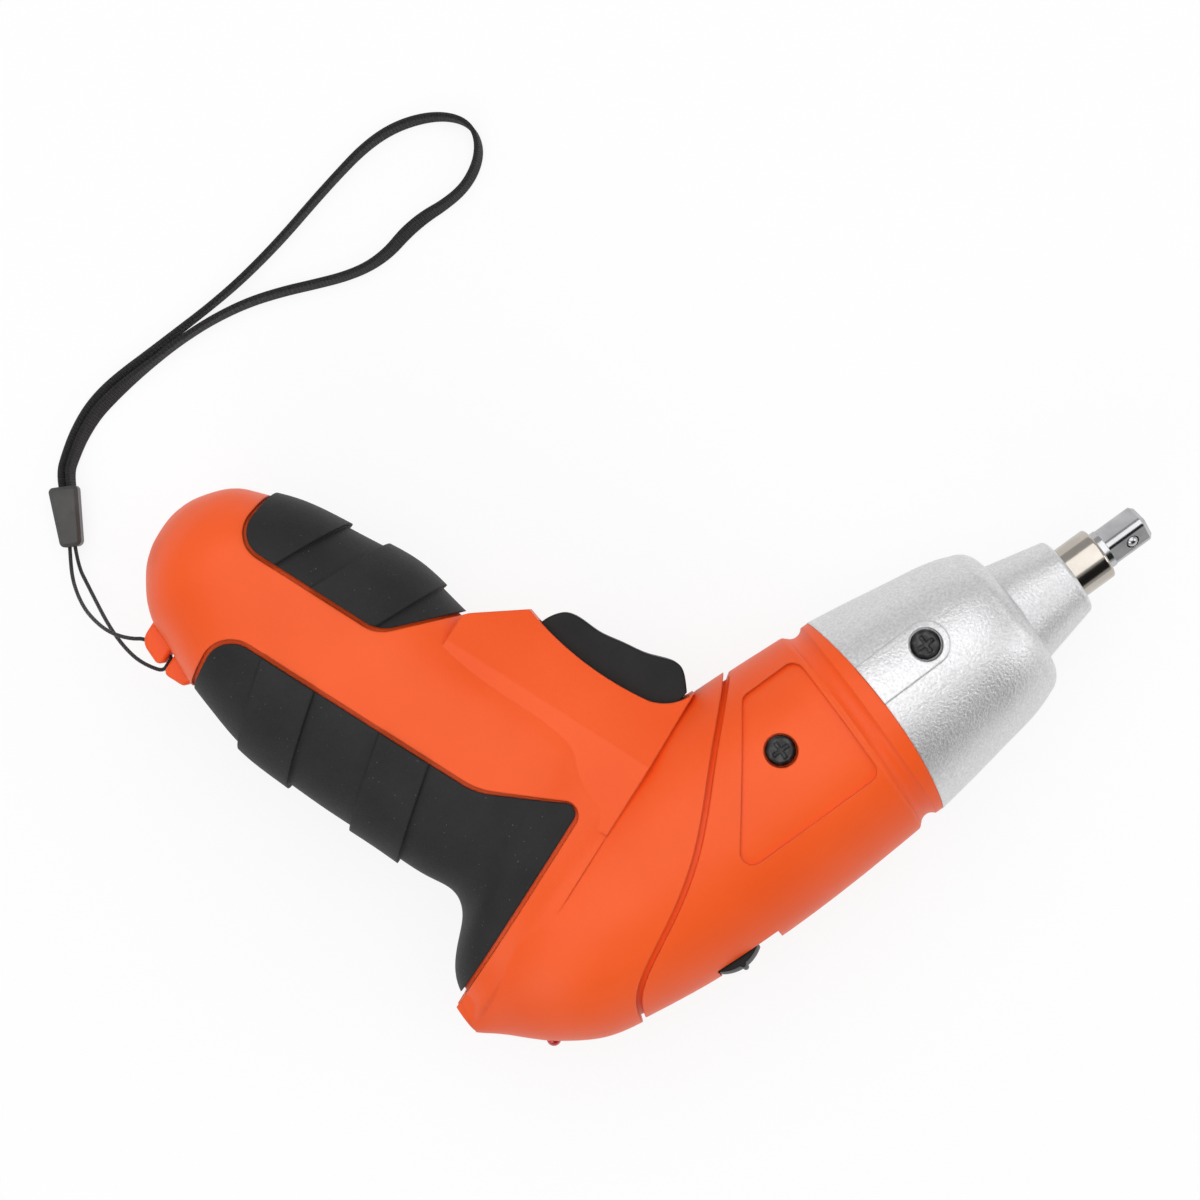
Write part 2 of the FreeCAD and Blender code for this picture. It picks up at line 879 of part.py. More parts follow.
def jack_place():
    """Middle of the rear facet and the direction into the housing."""
    slant = math.radians(rear_facet_lean)
    rear_radius = BARREL_SHARES[-1][1] * barrel_half_height + belt_step
    corner = Vector(shoulder_at - barrel_length, -rear_radius, 0)
    middle = corner + Vector(math.sin(slant), math.cos(slant), 0) * rear_radius
    return middle, Vector(math.cos(slant), -math.sin(slant), 0)


def lamp_place():
    slant = math.radians(lamp_lean)
    return Vector(lamp_at, lamp_drop, 0), Vector(-math.cos(slant), -math.sin(slant), 0)


def slider_sector_solid(start_at, end_at, inner, outer, half_angle):
    """Part of a ring round the spindle, on the side away from the handle."""
    corners = [
        Vector(start_at, -inner, 0),
        Vector(end_at, -inner, 0),
        Vector(end_at, -outer, 0),
        Vector(start_at, -outer, 0),
    ]
    sector = Part.Face(Part.makePolygon(corners + corners[:1]))
    sector.rotate(Vector(0, 0, 0), AXIS, -half_angle)
    return sector.revolve(Vector(0, 0, 0), AXIS, half_angle + half_angle)


def slider_openings():
    """Pocket that the slider's knob moves in and the slot that its neck passes through."""
    front_at = slider_back_at + slider_length + slider_travel + slide_clearance
    outer = barrel_half_height + belt_groove_depth + belt_step
    pocket = slider_sector_solid(
        slider_back_at - slide_clearance, front_at, slider_floor_radius, outer, slider_sector)
    neck_back = slider_back_at + (slider_length - slider_neck_length) / 2 - slide_clearance
    neck_length = slider_neck_length + slider_travel + slide_clearance + slide_clearance
    half = slider_neck_half_width + slide_clearance
    slot = Part.makeBox(neck_length, overrun, half + half, Vector(neck_back, -overrun, -half))
    return pocket.fuse(slot)


def cell_places():
    places = []
    for across in (-1, 1):
        for side in (-1, 1):
            depth = cell_middle_depth + across * cell_spacing / 2
            places.append((depth, side * cell_spacing / 2))
    return places


def battery_room():
    """Space of the four cells with a clearance, open between them."""
    low = cell_high + cell_length
    half = cell_spacing / 2
    room = handle_box(cell_high, low, cell_middle_depth - half, cell_middle_depth + half, half)
    for depth, side in cell_places():
        start = on_handle(cell_high, depth, side)
        room = room.fuse(rod(cell_radius + seat_clearance, start, on_handle(low, depth, side)))
    return room


def switch_room(margin):
    front = trigger_back_depth - trigger_travel - slide_clearance
    low = switch_high + switch_height
    return handle_box(
        switch_high - margin, low + margin, front - switch_depth - margin, front + margin,
        switch_half_width + margin)


def board_box(margin):
    size = Vector(board_thickness, board_height, board_half_width * 2)
    room = Vector(margin, margin, margin)
    size = size + room * 2
    corner = Vector(board_at, board_low - board_height, -board_half_width) - room
    return Part.makeBox(size.x, size.y, size.z, corner)


def inner_ribs():
    """Ribs, cradles and bosses that stand in the hollow housing and carry what is inside."""
    solids = []
    for share in MOTOR_RIB_SHARES:
        middle = motor_back_at + share * motor_length
        start, end = middle - rib_thickness / 2, middle + rib_thickness / 2
        solids.append(ring(barrel_half_height, motor_radius + seat_clearance, start, end))
    for start in (case_rib_back_at, case_rib_front_at):
        solids.append(ring(barrel_half_height, case_radius + seat_clearance, start, start + rib_thickness))
    boss_foot = Vector(housing_screw_at, screw_drop, 0)
    boss = rod(boss_radius, boss_foot, boss_foot + SIDE * barrel_half_width)
    solids.append(boss.cut(disc(case_radius + seat_clearance, case_back_at, case_step_at)))
    board_back = board_at - board_slot
    board_front = board_at + board_thickness + board_slot
    frame = disc(barrel_half_height, board_back, board_front).cut(board_box(seat_clearance))
    opening = Part.makeBox(
        board_front - board_back, board_height - board_slot * 2, board_half_width * 2 - board_slot * 2,
        Vector(board_back, board_low - board_height + board_slot, board_slot - board_half_width))
    solids.append(frame.cut(opening))
    middle, inward = jack_place()
    solids.append(rod(jack_flange_radius + seat_clearance, middle, middle + inward * jack_flange_back))
    spot, outward = lamp_place()
    solids.append(rod(lamp_flange_radius + seat_clearance, spot, spot - outward * lamp_seat_depth))
    pad_front = slider_back_at + slider_length + slider_travel + slider_pad_margin
    solids.append(slider_sector_solid(
        slider_back_at - slider_pad_margin, pad_front, slider_plate_top + slide_clearance,
        barrel_half_height - housing_wall / 2, slider_sector + slider_pad_margin))
    for share in CRADLE_SHARES:
        low = cell_high + share * cell_length
        high = low - cradle_thickness / 2
        slab = handle_box(high, high + cradle_thickness, -overrun, overrun, overrun)
        solids.append(slab.cut(battery_room()))
    front = trigger_back_depth - trigger_travel - slide_clearance
    pad = handle_box(
        switch_high, switch_high + switch_height, front - switch_depth, front - switch_depth / 2, overrun)
    hollow = handle_box(
        switch_high + rib_thickness, switch_high + switch_height - rib_thickness,
        front - switch_depth, front - switch_depth / 2, overrun)
    solids.append(pad.cut(hollow))
    return Part.makeCompound(solids), switch_room(seat_clearance)


def housing_hollow():
    """Space inside the housing, less the ribs."""
    hollow = barrel_form(housing_wall, BARREL_SHARES[:-2])
    front_at = seam_at + seam_bow + collar_groove_length
    hollow = hollow.fuse(disc(collar_bore_radius, shoulder_at - collar_groove_length, front_at))
    hollow = hollow.fuse(handle_form(grip_depth + housing_wall, HANDLE_SHARES[:-3]))
    ribs, room = inner_ribs()
    return left_half(hollow).cut(ribs).fuse(left_half(room))


def housing_cuts():
    """Openings through the left half of the housing wall."""
    cuts = [panel_cutter(), belt_groove_cutter(), lug_tunnel(), slider_openings()]
    cuts.append(grip_pocket(rear_grip_outline(0), rear_grip_outline(grip_gap)))
    cuts.append(grip_pocket(front_grip_outline(0), front_grip_outline(grip_gap)))
    trigger_low = trigger_high + trigger_height + slide_clearance
    back = trigger_back_depth - trigger_travel - slide_clearance
    half = trigger_half_width + slide_clearance
    cuts.append(handle_box(trigger_high - slide_clearance, trigger_low, back, overrun, half))
    middle, inward = jack_place()
    outside = middle - inward * jack_length
    cuts.append(rod(jack_radius + seat_clearance, outside, middle + inward * (jack_length + jack_length)))
    ledge = middle + inward * jack_flange_back
    cuts.append(rod(jack_flange_radius + seat_clearance, ledge, ledge + inward * jack_length))
    spot, outward = lamp_place()
    cuts.append(rod(lamp_radius + seat_clearance, spot + outward * lamp_length, spot - outward * lamp_length))
    floor = housing_screw_floor()
    seat = Vector(housing_screw_at, screw_drop, floor)
    cuts.append(rod(screw_recess_radius, seat, seat + SIDE * overrun))
    cuts.append(rod(screw_shank_radius + screw_clearance, seat - SIDE * floor, seat))
    return cuts


def housing_screw_floor():
    return barrel_side_at(housing_screw_at, screw_drop) - panel_depth - screw_recess_depth


def nose_screw_floor():
    radius = nose_radius_at(nose_screw_at) + tab_height
    return math.sqrt(radius ** 2 - screw_drop ** 2) - screw_recess_depth


def housing_left():
    barrel = left_half(barrel_form(0))
    front_edges = []
    for edge in barrel.Edges:
        if edge.BoundBox.XMin > shoulder_at - shoulder_round and edge.BoundBox.ZLength > shoulder_round:
            front_edges.append(edge)
    solid = barrel.makeFillet(shoulder_round, front_edges).fuse(left_half(handle_form(0)))
    belt = barrel_form(-belt_step).common(behind_belt_edge(Vector(0, 0, 0)))
    solid = solid.fuse(left_half(belt.cut(rear_facet_cutter())))
    solid = solid.fuse(left_half(collar()))
    solid = solid.fuse(left_half(flank()))
    solid = solid.fuse(lug())
    for cutter in housing_cuts():
        solid = solid.cut(cutter)
    return solid.cut(housing_hollow())


def pan_screw(seat, out, length):
    """Pan-head screw with a cross recess, its head standing on a seat."""
    head = rod(screw_head_radius, seat, seat + out * screw_head_height)
    rim = head.Edges[0]
    for edge in head.Edges:
        if edge.CenterOfMass.sub(seat + out * screw_head_height).Length < screw_head_height / 2:
            rim = edge
    head = head.makeFillet(screw_head_height / 2, [rim])
    screw = head.fuse(rod(screw_shank_radius, seat - out * length, seat))
    top = seat + out * screw_head_height
    for long_way, short_way in ((AXIS, Vector(0, 1, 0)), (Vector(0, 1, 0), AXIS)):
        corner = top - out * screw_slot_depth - long_way * (screw_slot_length / 2)
        corner = corner - short_way * (screw_slot_width / 2)
        steps = (long_way * screw_slot_length, short_way * screw_slot_width)
        corners = [corner, corner + steps[0], corner + steps[0] + steps[1], corner + steps[1]]
        slot = Part.Face(Part.makePolygon(corners + corners[:1])).extrude(out * screw_head_height)
        screw = screw.cut(slot)
    return screw


def housing_screws():
    floor = housing_screw_floor()
    length = floor - math.sqrt(case_radius ** 2 - screw_drop ** 2) + screw_hold
    return both_sides(pan_screw(Vector(housing_screw_at, screw_drop, floor), SIDE, length))


def nose_screws():
    floor = nose_screw_floor()
    length = floor - math.sqrt(case_front_radius ** 2 - screw_drop ** 2) + screw_hold
    return both_sides(pan_screw(Vector(nose_screw_at, screw_drop, floor), SIDE, length))


def nose_form(extra):
    """Solid outer form of the nose: curved skirt, rounded shoulder and a small cone."""
    skirt = []
    for ahead, radius in NOSE_SHARES:
        skirt.append(Vector(seam_at + ahead * nose_skirt_length, radius * nose_radius + extra, 0))
    skirt_end = skirt[-1]
    cone_start = Vector(nose_cone_at, nose_cone_radius + extra, 0)
    drop = skirt_end.y - cone_start.y
    shoulder = Vector(skirt_end.x + nose_shoulder_length * math.sin(math.pi / 4),
                      skirt_end.y - drop * (1 - math.sin(math.pi / 4)), 0)
    cone_end = Vector(nose_front_at - nose_tip_round, nose_tip_radius + extra, 0)
    tip = Vector(nose_front_at, nose_tip_radius + extra - nose_tip_round, 0)
    bend = nose_tip_round * (1 - math.sin(math.pi / 4))
    tip_middle = Vector(nose_front_at - bend, nose_tip_radius + extra - bend, 0)
    edges = [
        spline(skirt),
        arc(skirt_end, shoulder, cone_start),
        line(cone_start, cone_end),
        arc(cone_end, tip_middle, tip),
        line(tip, Vector(nose_front_at, 0, 0)),
        line(Vector(nose_front_at, 0, 0), Vector(seam_at, 0, 0)),
        line(Vector(seam_at, 0, 0), skirt[0]),
    ]
    return turned(edges)


def nose_cone():
    """Shell of the nose with its tabs, screw bosses and the seat of the front bush."""
    chamber_end = seam_at + nose_chamber_length
    lip_at = nose_front_at - nose_lip_length
    seat = chuck_radius + running_clearance + bush_wall
    mouth = nose_radius - nose_wall
    hollow = Part.makeCone(mouth, nose_chamber_end_radius, nose_chamber_length, Vector(seam_at, 0, 0), AXIS)
    bores = disc(seat, seam_at, lip_at).fuse(disc(nose_lip_radius, seam_at, nose_front_at))
    form = nose_form(0)
    shell = form.cut(hollow)
    foot = Vector(nose_screw_at, screw_drop, 0)
    boss = rod(boss_radius, foot, foot + SIDE * nose_radius).common(form)
    boss = boss.cut(disc(case_front_radius + seat_clearance, seam_at, nose_front_at))
    tab_end = seam_at + tab_length - tab_half_width
    tab = Part.makeBox(
        tab_end - seam_at, tab_half_width * 2, nose_radius, Vector(seam_at, screw_drop - tab_half_width, 0))
    end = Vector(tab_end, screw_drop, 0)
    tab = tab.fuse(rod(tab_half_width, end, end + SIDE * nose_radius))
    tab = tab.common(nose_form(tab_height)).cut(nose_form(-nose_wall / 2))
    floor = Vector(nose_screw_at, screw_drop, nose_screw_floor())
    recess = rod(screw_recess_radius, floor, floor + SIDE * overrun)
    hole = rod(screw_shank_radius + screw_clearance, foot, floor)
    for place in (lambda shape: shape, mirrored):
        shell = shell.fuse(place(boss)).fuse(place(tab))
        shell = shell.cut(place(recess)).cut(place(hole))
    return shell.cut(bores).common(ahead_of_seam())


def trigger():
    """Finger trigger: a hollow-fronted block that slides into the handle."""
    points = []
    for low, depth in TRIGGER_SHARES:
        points.append(on_handle(trigger_high + low * trigger_height, depth * trigger_reach))
    inner_high = on_handle(trigger_back_high, trigger_back_depth)
    inner_low = on_handle(trigger_back_low, trigger_back_depth)
    outline = face([
        spline(points),
        line(points[-1], inner_high),
        line(inner_high, inner_low),
        line(inner_low, points[0]),
    ])
    outline.translate(SIDE * -trigger_half_width)
    solid = outline.extrude(SIDE * (trigger_half_width * 2))
    rims = []
    for edge in solid.Edges:
        if edge.BoundBox.ZLength < trigger_round and edge.Length > trigger_height:
            rims.append(edge)
    return solid.makeFillet(trigger_round, rims)


def switch_plunger():
    start = on_handle(plunger_low, trigger_back_depth)
    return rod(plunger_radius, start, on_handle(plunger_low, trigger_back_depth - plunger_length))


def trigger_switch():
    """Switch block with the bore that its plunger slides in."""
    end_depth = trigger_back_depth - plunger_length - trigger_travel - slide_clearance
    mouth = on_handle(plunger_low, trigger_back_depth)
    bore = rod(plunger_radius + running_clearance, on_handle(plunger_low, end_depth), mouth)
    return switch_room(0).cut(bore)


def direction_slider():
    """Curved knob with a rib, on a neck and a plate that run under the housing wall."""
    foot = slider_floor_radius + slide_clearance
    front_at = slider_back_at + slider_length
    middle_at = (slider_back_at + front_at) / 2
    half_angle = slider_sector - math.degrees(slide_clearance * 2 / foot)
    moon = face([
        line(Vector(slider_back_at, -foot, 0), Vector(front_at, -foot, 0)),
        line(Vector(front_at, -foot, 0), Vector(front_at, -slider_knob_end, 0)),
        arc(Vector(front_at, -slider_knob_end, 0), Vector(middle_at, -slider_knob_crown, 0),
            Vector(slider_back_at, -slider_knob_end, 0)),
        line(Vector(slider_back_at, -slider_knob_end, 0), Vector(slider_back_at, -foot, 0)),
    ])
    rib = Part.Face(Part.Wire(Part.makeCircle(slider_rib_radius, Vector(middle_at, -slider_knob_crown, 0))))
    solids = []
    for section in (moon, rib):
        section.rotate(Vector(0, 0, 0), AXIS, -half_angle)
        solids.append(section.revolve(Vector(0, 0, 0), AXIS, half_angle * 2))
    neck = Part.makeBox(
        slider_neck_length, foot - slider_plate_top + slider_plate_thickness, slider_neck_half_width * 2,
        Vector(middle_at - slider_neck_length / 2, -foot, -slider_neck_half_width))
    plate_angle = math.degrees(slider_plate_half_width / slider_plate_top)
    plate = slider_sector_solid(
        middle_at - slider_plate_length / 2, middle_at + slider_plate_length / 2,
        slider_plate_top - slider_plate_thickness, slider_plate_top, plate_angle)
    under = disc(slider_plate_top - slider_plate_thickness, slider_back_at, front_at)
    return solids[0].fuse(solids[1]).fuse(neck.cut(under)).fuse(plate)


def direction_switch():
    """Slide switch block between the slider's plate and the motor."""
    middle_at = slider_back_at + (slider_length + slider_travel) / 2
    top = math.sqrt((slider_plate_top - slider_plate_thickness) ** 2 - selector_half_width ** 2)
    block = Part.makeBox(
        selector_length, top - slide_clearance - motor_radius, selector_half_width * 2,
        Vector(middle_at - selector_length / 2, slide_clearance - top, -selector_half_width))
    return block


def motor_can():
    inner = motor_radius - motor_can_wall
    can = disc(motor_radius, motor_back_at, motor_front_at)
    can = can.cut(disc(inner, motor_back_at, motor_front_at - motor_can_wall))
    can = can.fuse(disc(motor_boss_radius, motor_front_at, motor_front_at + motor_boss_length))
    can = can.cut(disc(motor_shaft_radius + running_clearance, motor_back_at, motor_front_at + motor_boss_length))
    for way in (-1, 1):
        hole = Vector(motor_front_at, way * motor_screw_offset, 0)
        can = can.cut(rod(motor_screw_radius, hole - AXIS * motor_can_wall, hole))
    return can


def motor_end_cap():
    inner = motor_radius - motor_can_wall
    cap = disc(motor_radius, motor_back_at - motor_cap_length, motor_back_at)
    cap = cap.fuse(disc(inner, motor_back_at, motor_back_at + motor_can_wall))
    return cap.cut(disc(motor_shaft_radius + running_clearance, motor_back_at - motor_cap_length,
                        motor_back_at + motor_can_wall))


def motor_terminals():
    solids = []
    back_at = motor_back_at - motor_cap_length - motor_tab_length
    for way in (-1, 1):
        corner = Vector(back_at, way * motor_tab_offset - motor_tab_thickness / 2, -motor_tab_width / 2)
        solids.append(Part.makeBox(motor_tab_length, motor_tab_thickness, motor_tab_width, corner))
    return Part.makeCompound(solids)


def motor_magnets():
    """Two curved magnets inside the can."""
    outer = motor_radius - motor_can_wall
    inner = outer - motor_magnet_thickness
    middle_at = (motor_back_at + motor_front_at) / 2
    start, end = middle_at - motor_magnet_length / 2, middle_at + motor_magnet_length / 2
    solid = slider_sector_solid(start, end, inner, outer, motor_magnet_spread / 2)
    solid.rotate(Vector(0, 0, 0), AXIS, 90)
    return both_sides(solid)


def motor_armature():
    """Three-pole core with its commutator, on the shaft."""
    middle_at = (motor_back_at + motor_front_at) / 2
    start, end = middle_at - motor_core_length / 2, middle_at + motor_core_length / 2
    core = disc(motor_core_radius, start, end)
    slot_radius = motor_core_radius / 4
    for pole in range(3):
        turn = 2 * math.pi * pole / 3
        way = Vector(0, math.cos(turn), math.sin(turn)) * (motor_core_radius - slot_radius / 2)
        core = core.cut(rod(slot_radius, Vector(start, 0, 0) + way, Vector(end, 0, 0) + way))
    core = core.fuse(disc(motor_commutator_radius, start - motor_commutator_length, start))
    return core.cut(disc(motor_shaft_radius, start - motor_commutator_length, end))


def motor_shaft():
    back_at = motor_back_at - motor_cap_length / 2
    return disc(motor_shaft_radius, back_at, carrier_one_at - gear_gap)


def motor_screws():
    solids = []
    for way in (-1, 1):
        seat = Vector(plate_front_at, way * motor_screw_offset, 0)
        screw = rod(motor_screw_head_radius, seat, seat + AXIS * motor_screw_head_height)
        hold = case_plate + motor_can_wall
        solids.append(screw.fuse(rod(motor_screw_radius, seat - AXIS * hold, seat)))
    return Part.makeCompound(solids)


def involute(angle):
    return math.tan(angle) - angle


def gear_face(teeth, root, tip, thinning, turn):
    """Outline of an involute gear in the plane square to the spindle."""
    pitch = gear_module * teeth / 2
    pressure = math.radians(pressure_angle)
    base = pitch * math.cos(pressure)
    start = max(root, base)
    half_pitch = math.pi / (2 * teeth) - thinning / (2 * pitch)

    def half_angle(radius):
        return half_pitch + involute(pressure) - involute(math.acos(min(1, base / radius)))

    def spot(radius, angle):
        return Vector(0, radius * math.cos(angle), radius * math.sin(angle))

    edges = []
    for tooth in range(teeth):
        centre = turn + 2 * math.pi * tooth / teeth
        ahead = centre + 2 * math.pi / teeth
        flank = ((start, half_angle(start)), ((start + tip) / 2, half_angle((start + tip) / 2)),
                 (tip, half_angle(tip)))
        rise = [spot(radius, centre - angle) for radius, angle in flank]
        fall = [spot(radius, centre + angle) for radius, angle in reversed(flank)]
        root_fall = spot(root, centre + half_angle(start))
        root_next = spot(root, ahead - half_angle(start))
        if root < start:
            edges.append(line(spot(root, centre - half_angle(start)), rise[0]))
        edges.append(arc(*rise))
        edges.append(arc(rise[2], spot(tip, centre), fall[0]))
        edges.append(arc(*fall))
        if root < start:
            edges.append(line(fall[2], root_fall))
        edges.append(arc(root_fall, spot(root, (centre + ahead) / 2), root_next))
    return Part.Face(Part.Wire(edges))


def gear(teeth, addendum, start_at, end_at, turn):
    pitch = gear_module * teeth / 2
    tip = pitch + addendum * gear_module
    root = pitch - dedendum_share * gear_module
    outline = gear_face(teeth, root, tip, backlash_share * gear_module / 2, turn)
    outline.translate(Vector(start_at, 0, 0))
    return outline.extrude(Vector(end_at - start_at, 0, 0))


def planet_angle(index):
    return 2 * math.pi * index / planet_count


def planet_centre(index, place):
    turn = planet_angle(index)
    return Vector(place, planet_orbit * math.cos(turn), planet_orbit * math.sin(turn))


def planet(index, start_at, width, pin_radius):
    """Planet wheel in mesh with a sun tooth and a ring gap on the Y axis."""
    turn = planet_angle(index) * (1 + sun_teeth / planet_teeth) + math.pi + math.pi / planet_teeth
    wheel = gear(planet_teeth, addendum_share, start_at, start_at + width, turn)
    wheel = wheel.cut(disc(pin_radius + running_clearance, start_at, start_at + width))
    centre = planet_centre(index, 0)
    wheel.translate(centre)
    return wheel


def carrier_pins(start_at, end_at, radius):
    solids = []
    for index in range(planet_count):
        solids.append(rod(radius, planet_centre(index, start_at), planet_centre(index, end_at)))
    return solids


def motor_pinion():
    end_at = carrier_one_at - gear_gap
    pinion = gear(sun_teeth, sun_addendum_share, planets_one_at, end_at, 0)
    return pinion.cut(disc(pinion_bore_radius, planets_one_at, end_at))


def carrier_one():
    """First carrier: plate, three pins and the sun of the second stage."""
    front_at = carrier_one_at + carrier_one_thickness
    solid = disc(carrier_radius, carrier_one_at, front_at)
    for pin in carrier_pins(planets_one_at, carrier_one_at, pin_radius_one):
        solid = solid.fuse(pin)
    return solid.fuse(gear(sun_teeth, sun_addendum_share, front_at, carrier_two_at - gear_gap, 0))


def output_carrier():
    solid = disc(carrier_radius, carrier_two_at, spindle_back_at)
    for pin in carrier_pins(planets_two_at, carrier_two_at, pin_radius_two):
        solid = solid.fuse(pin)
    return solid.cut(disc(spindle_stub_radius, carrier_two_at, spindle_back_at))


def gear_case():
    """Case with the ring teeth of both stages, the motor plate and the seats of screws and bush."""
    solid = disc(case_radius, case_back_at, case_step_at)
    solid = solid.fuse(disc(case_front_radius, case_step_at, case_front_at))
    root = ring_radius - addendum_share * gear_module
    tip = ring_radius + dedendum_share * gear_module
    teeth = gear_face(ring_teeth, root, tip, -backlash_share * gear_module / 2, 0)
    teeth.translate(Vector(plate_front_at, 0, 0))
    solid = solid.cut(teeth.extrude(Vector(case_bulkhead_at - plate_front_at, 0, 0)))
    solid = solid.cut(disc(motor_boss_radius + seat_clearance, case_back_at, plate_front_at))
    bush_end = case_bulkhead_at + rear_bush_length
    bush_radius = spindle_radius + running_clearance + bush_wall
    solid = solid.cut(disc(bush_radius, case_bulkhead_at, bush_end))
    solid = solid.cut(disc(case_front_bore_radius, bush_end, case_front_at))
    for way in (-1, 1):
        hole = Vector(case_back_at, way * motor_screw_offset, 0)
        solid = solid.cut(rod(motor_screw_radius, hole, hole + AXIS * case_plate))
    for place, radius in ((housing_screw_at, case_radius), (nose_screw_at, case_front_radius)):
        surface = math.sqrt(radius ** 2 - screw_drop ** 2)
        start = Vector(place, screw_drop, surface - screw_hold)
        pilot = rod(screw_shank_radius, start, start + SIDE * radius)
        solid = solid.cut(pilot).cut(mirrored(pilot))
    return solid


def chuck_spindle():
    """Output spindle with the hex socket of the chuck in its front end."""
    solid = disc(spindle_stub_radius, carrier_two_at, spindle_back_at)
    solid = solid.fuse(disc(spindle_radius, spindle_back_at, chuck_at))
    chuck = disc(chuck_radius, chuck_at, chuck_front_at)
    rims = [edge for edge in chuck.Edges if edge.BoundBox.XMin > chuck_front_at - chuck_round]
    solid = solid.fuse(chuck.makeFillet(chuck_round, rims))
    socket_at = chuck_front_at - hex_depth
    solid = solid.cut(hexagon(hex_across + hex_clearance, socket_at, chuck_front_at))
    solid = solid.cut(disc(magnet_radius, socket_at - magnet_length, socket_at))
    groove_at = case_bulkhead_at + rear_bush_length + seat_clearance
    groove = ring(chuck_radius, spindle_radius - clip_groove_depth, groove_at, groove_at + clip_thickness)
    return solid.cut(groove)


def hexagon(across, start_at, end_at):
    corner_radius = across / math.sqrt(3)
    corners = []
    for index in range(7):
        turn = math.pi * index / 3
        corners.append(Vector(start_at, corner_radius * math.cos(turn), corner_radius * math.sin(turn)))
    return Part.Face(Part.makePolygon(corners)).extrude(Vector(end_at - start_at, 0, 0))


def chuck_magnet():
    socket_at = chuck_front_at - hex_depth
    return disc(magnet_radius, socket_at - magnet_length, socket_at)


def thrust_washer():
    return ring(washer_radius, spindle_radius + seat_clearance, spindle_back_at,
                spindle_back_at + washer_thickness)


def rear_bush():
    inner = spindle_radius + running_clearance
    return ring(inner + bush_wall, inner, case_bulkhead_at, case_bulkhead_at + rear_bush_length)


def front_bush():
    inner = chuck_radius + running_clearance
    end_at = nose_front_at - nose_lip_length
    return ring(inner + bush_wall, inner, end_at - front_bush_length, end_at)


def retaining_ring():
    start_at = case_bulkhead_at + rear_bush_length + seat_clearance
    solid = ring(spindle_radius + clip_rise, spindle_radius - clip_groove_depth, start_at,
                 start_at + clip_thickness)
    gap = Part.makeBox(clip_thickness, spindle_radius * 2, spindle_radius, Vector(start_at, 0, -spindle_radius / 2))
    return solid.cut(gap)


def socket_adapter():
    """Hex shank, round neck and a square drive with the bore of its detent ball."""
    shank_back = chuck_front_at - hex_depth
    neck_end = chuck_front_at + adapter_neck_length
    tip_at = neck_end + adapter_square_length
    solid = hexagon(hex_across, shank_back, chuck_front_at)
    solid = solid.fuse(disc(adapter_neck_radius, chuck_front_at, neck_end))
    half = adapter_square / 2
    square = Part.makeBox(adapter_square_length, adapter_square, adapter_square, Vector(neck_end, -half, -half))
    long_edges = [edge for edge in square.Edges if edge.BoundBox.XLength > adapter_square_length / 2]
    square = square.makeFillet(adapter_square_round, long_edges)
    tip_edges = [edge for edge in square.Edges if edge.BoundBox.XMin > tip_at - adapter_tip_chamfer]
    square = square.makeChamfer(adapter_tip_chamfer, tip_edges)
    square.rotate(Vector(0, 0, 0), AXIS, adapter_turn)
    solid = solid.fuse(square)
    mouth = detent_direction() * half
    centre = Vector(tip_at - detent_back, 0, 0) + mouth
    bore = rod(detent_radius + running_clearance, centre - detent_direction() * detent_bore_depth,
               centre + detent_direction() * adapter_square)
    return solid.cut(bore)


def detent_direction():
    turn = math.radians(adapter_turn)
    return Vector(0, -math.sin(turn), math.cos(turn))


def detent_ball():
    tip_at = chuck_front_at + adapter_neck_length + adapter_square_length
    out = adapter_square / 2 + detent_rise - detent_radius
    return Part.makeSphere(detent_radius, Vector(tip_at - detent_back, 0, 0) + detent_direction() * out)


def battery_cell(depth, side):
    start = on_handle(cell_high, depth, side)
    end = on_handle(cell_high + cell_length - cell_cap_height, depth, side)
    return rod(cell_radius, start, end).fuse(rod(cell_cap_radius, end, end + DOWN * cell_cap_height))


def battery_tabs():
    """Strips that join the cells in pairs at both ends."""
    solids = []
    half_width = cell_tab_width / 2
    back = cell_middle_depth - cell_spacing / 2 - half_width
    front = cell_middle_depth + cell_spacing / 2 + half_width
    for high in (cell_high - cell_tab_thickness, cell_high + cell_length):
        for way in (-1, 1):
            strip = handle_box(high, high + cell_tab_thickness, back, front, half_width)
            strip.translate(SIDE * (way * cell_spacing / 2))
            solids.append(strip)
    return Part.makeCompound(solids)


def charge_lamp():
    """Domed indicator lamp with a flange inside the wall."""
    spot, outward = lamp_place()
    crown = spot + outward * (lamp_rise - lamp_radius)
    seat = spot - outward * lamp_seat_depth
    solid = rod(lamp_radius, seat, crown).fuse(Part.makeSphere(lamp_radius, crown))
    return solid.fuse(rod(lamp_flange_radius, seat - outward * lamp_flange_length, seat))


def charge_socket():
    middle, inward = jack_place()
    solid = rod(jack_radius, middle, middle + inward * jack_length)
    seat = middle + inward * jack_flange_back
    solid = solid.fuse(rod(jack_flange_radius, seat, seat + inward * jack_flange_length))
    return solid.cut(rod(jack_bore_radius, middle, middle + inward * jack_bore_length))


def charge_board():
    return board_box(0)


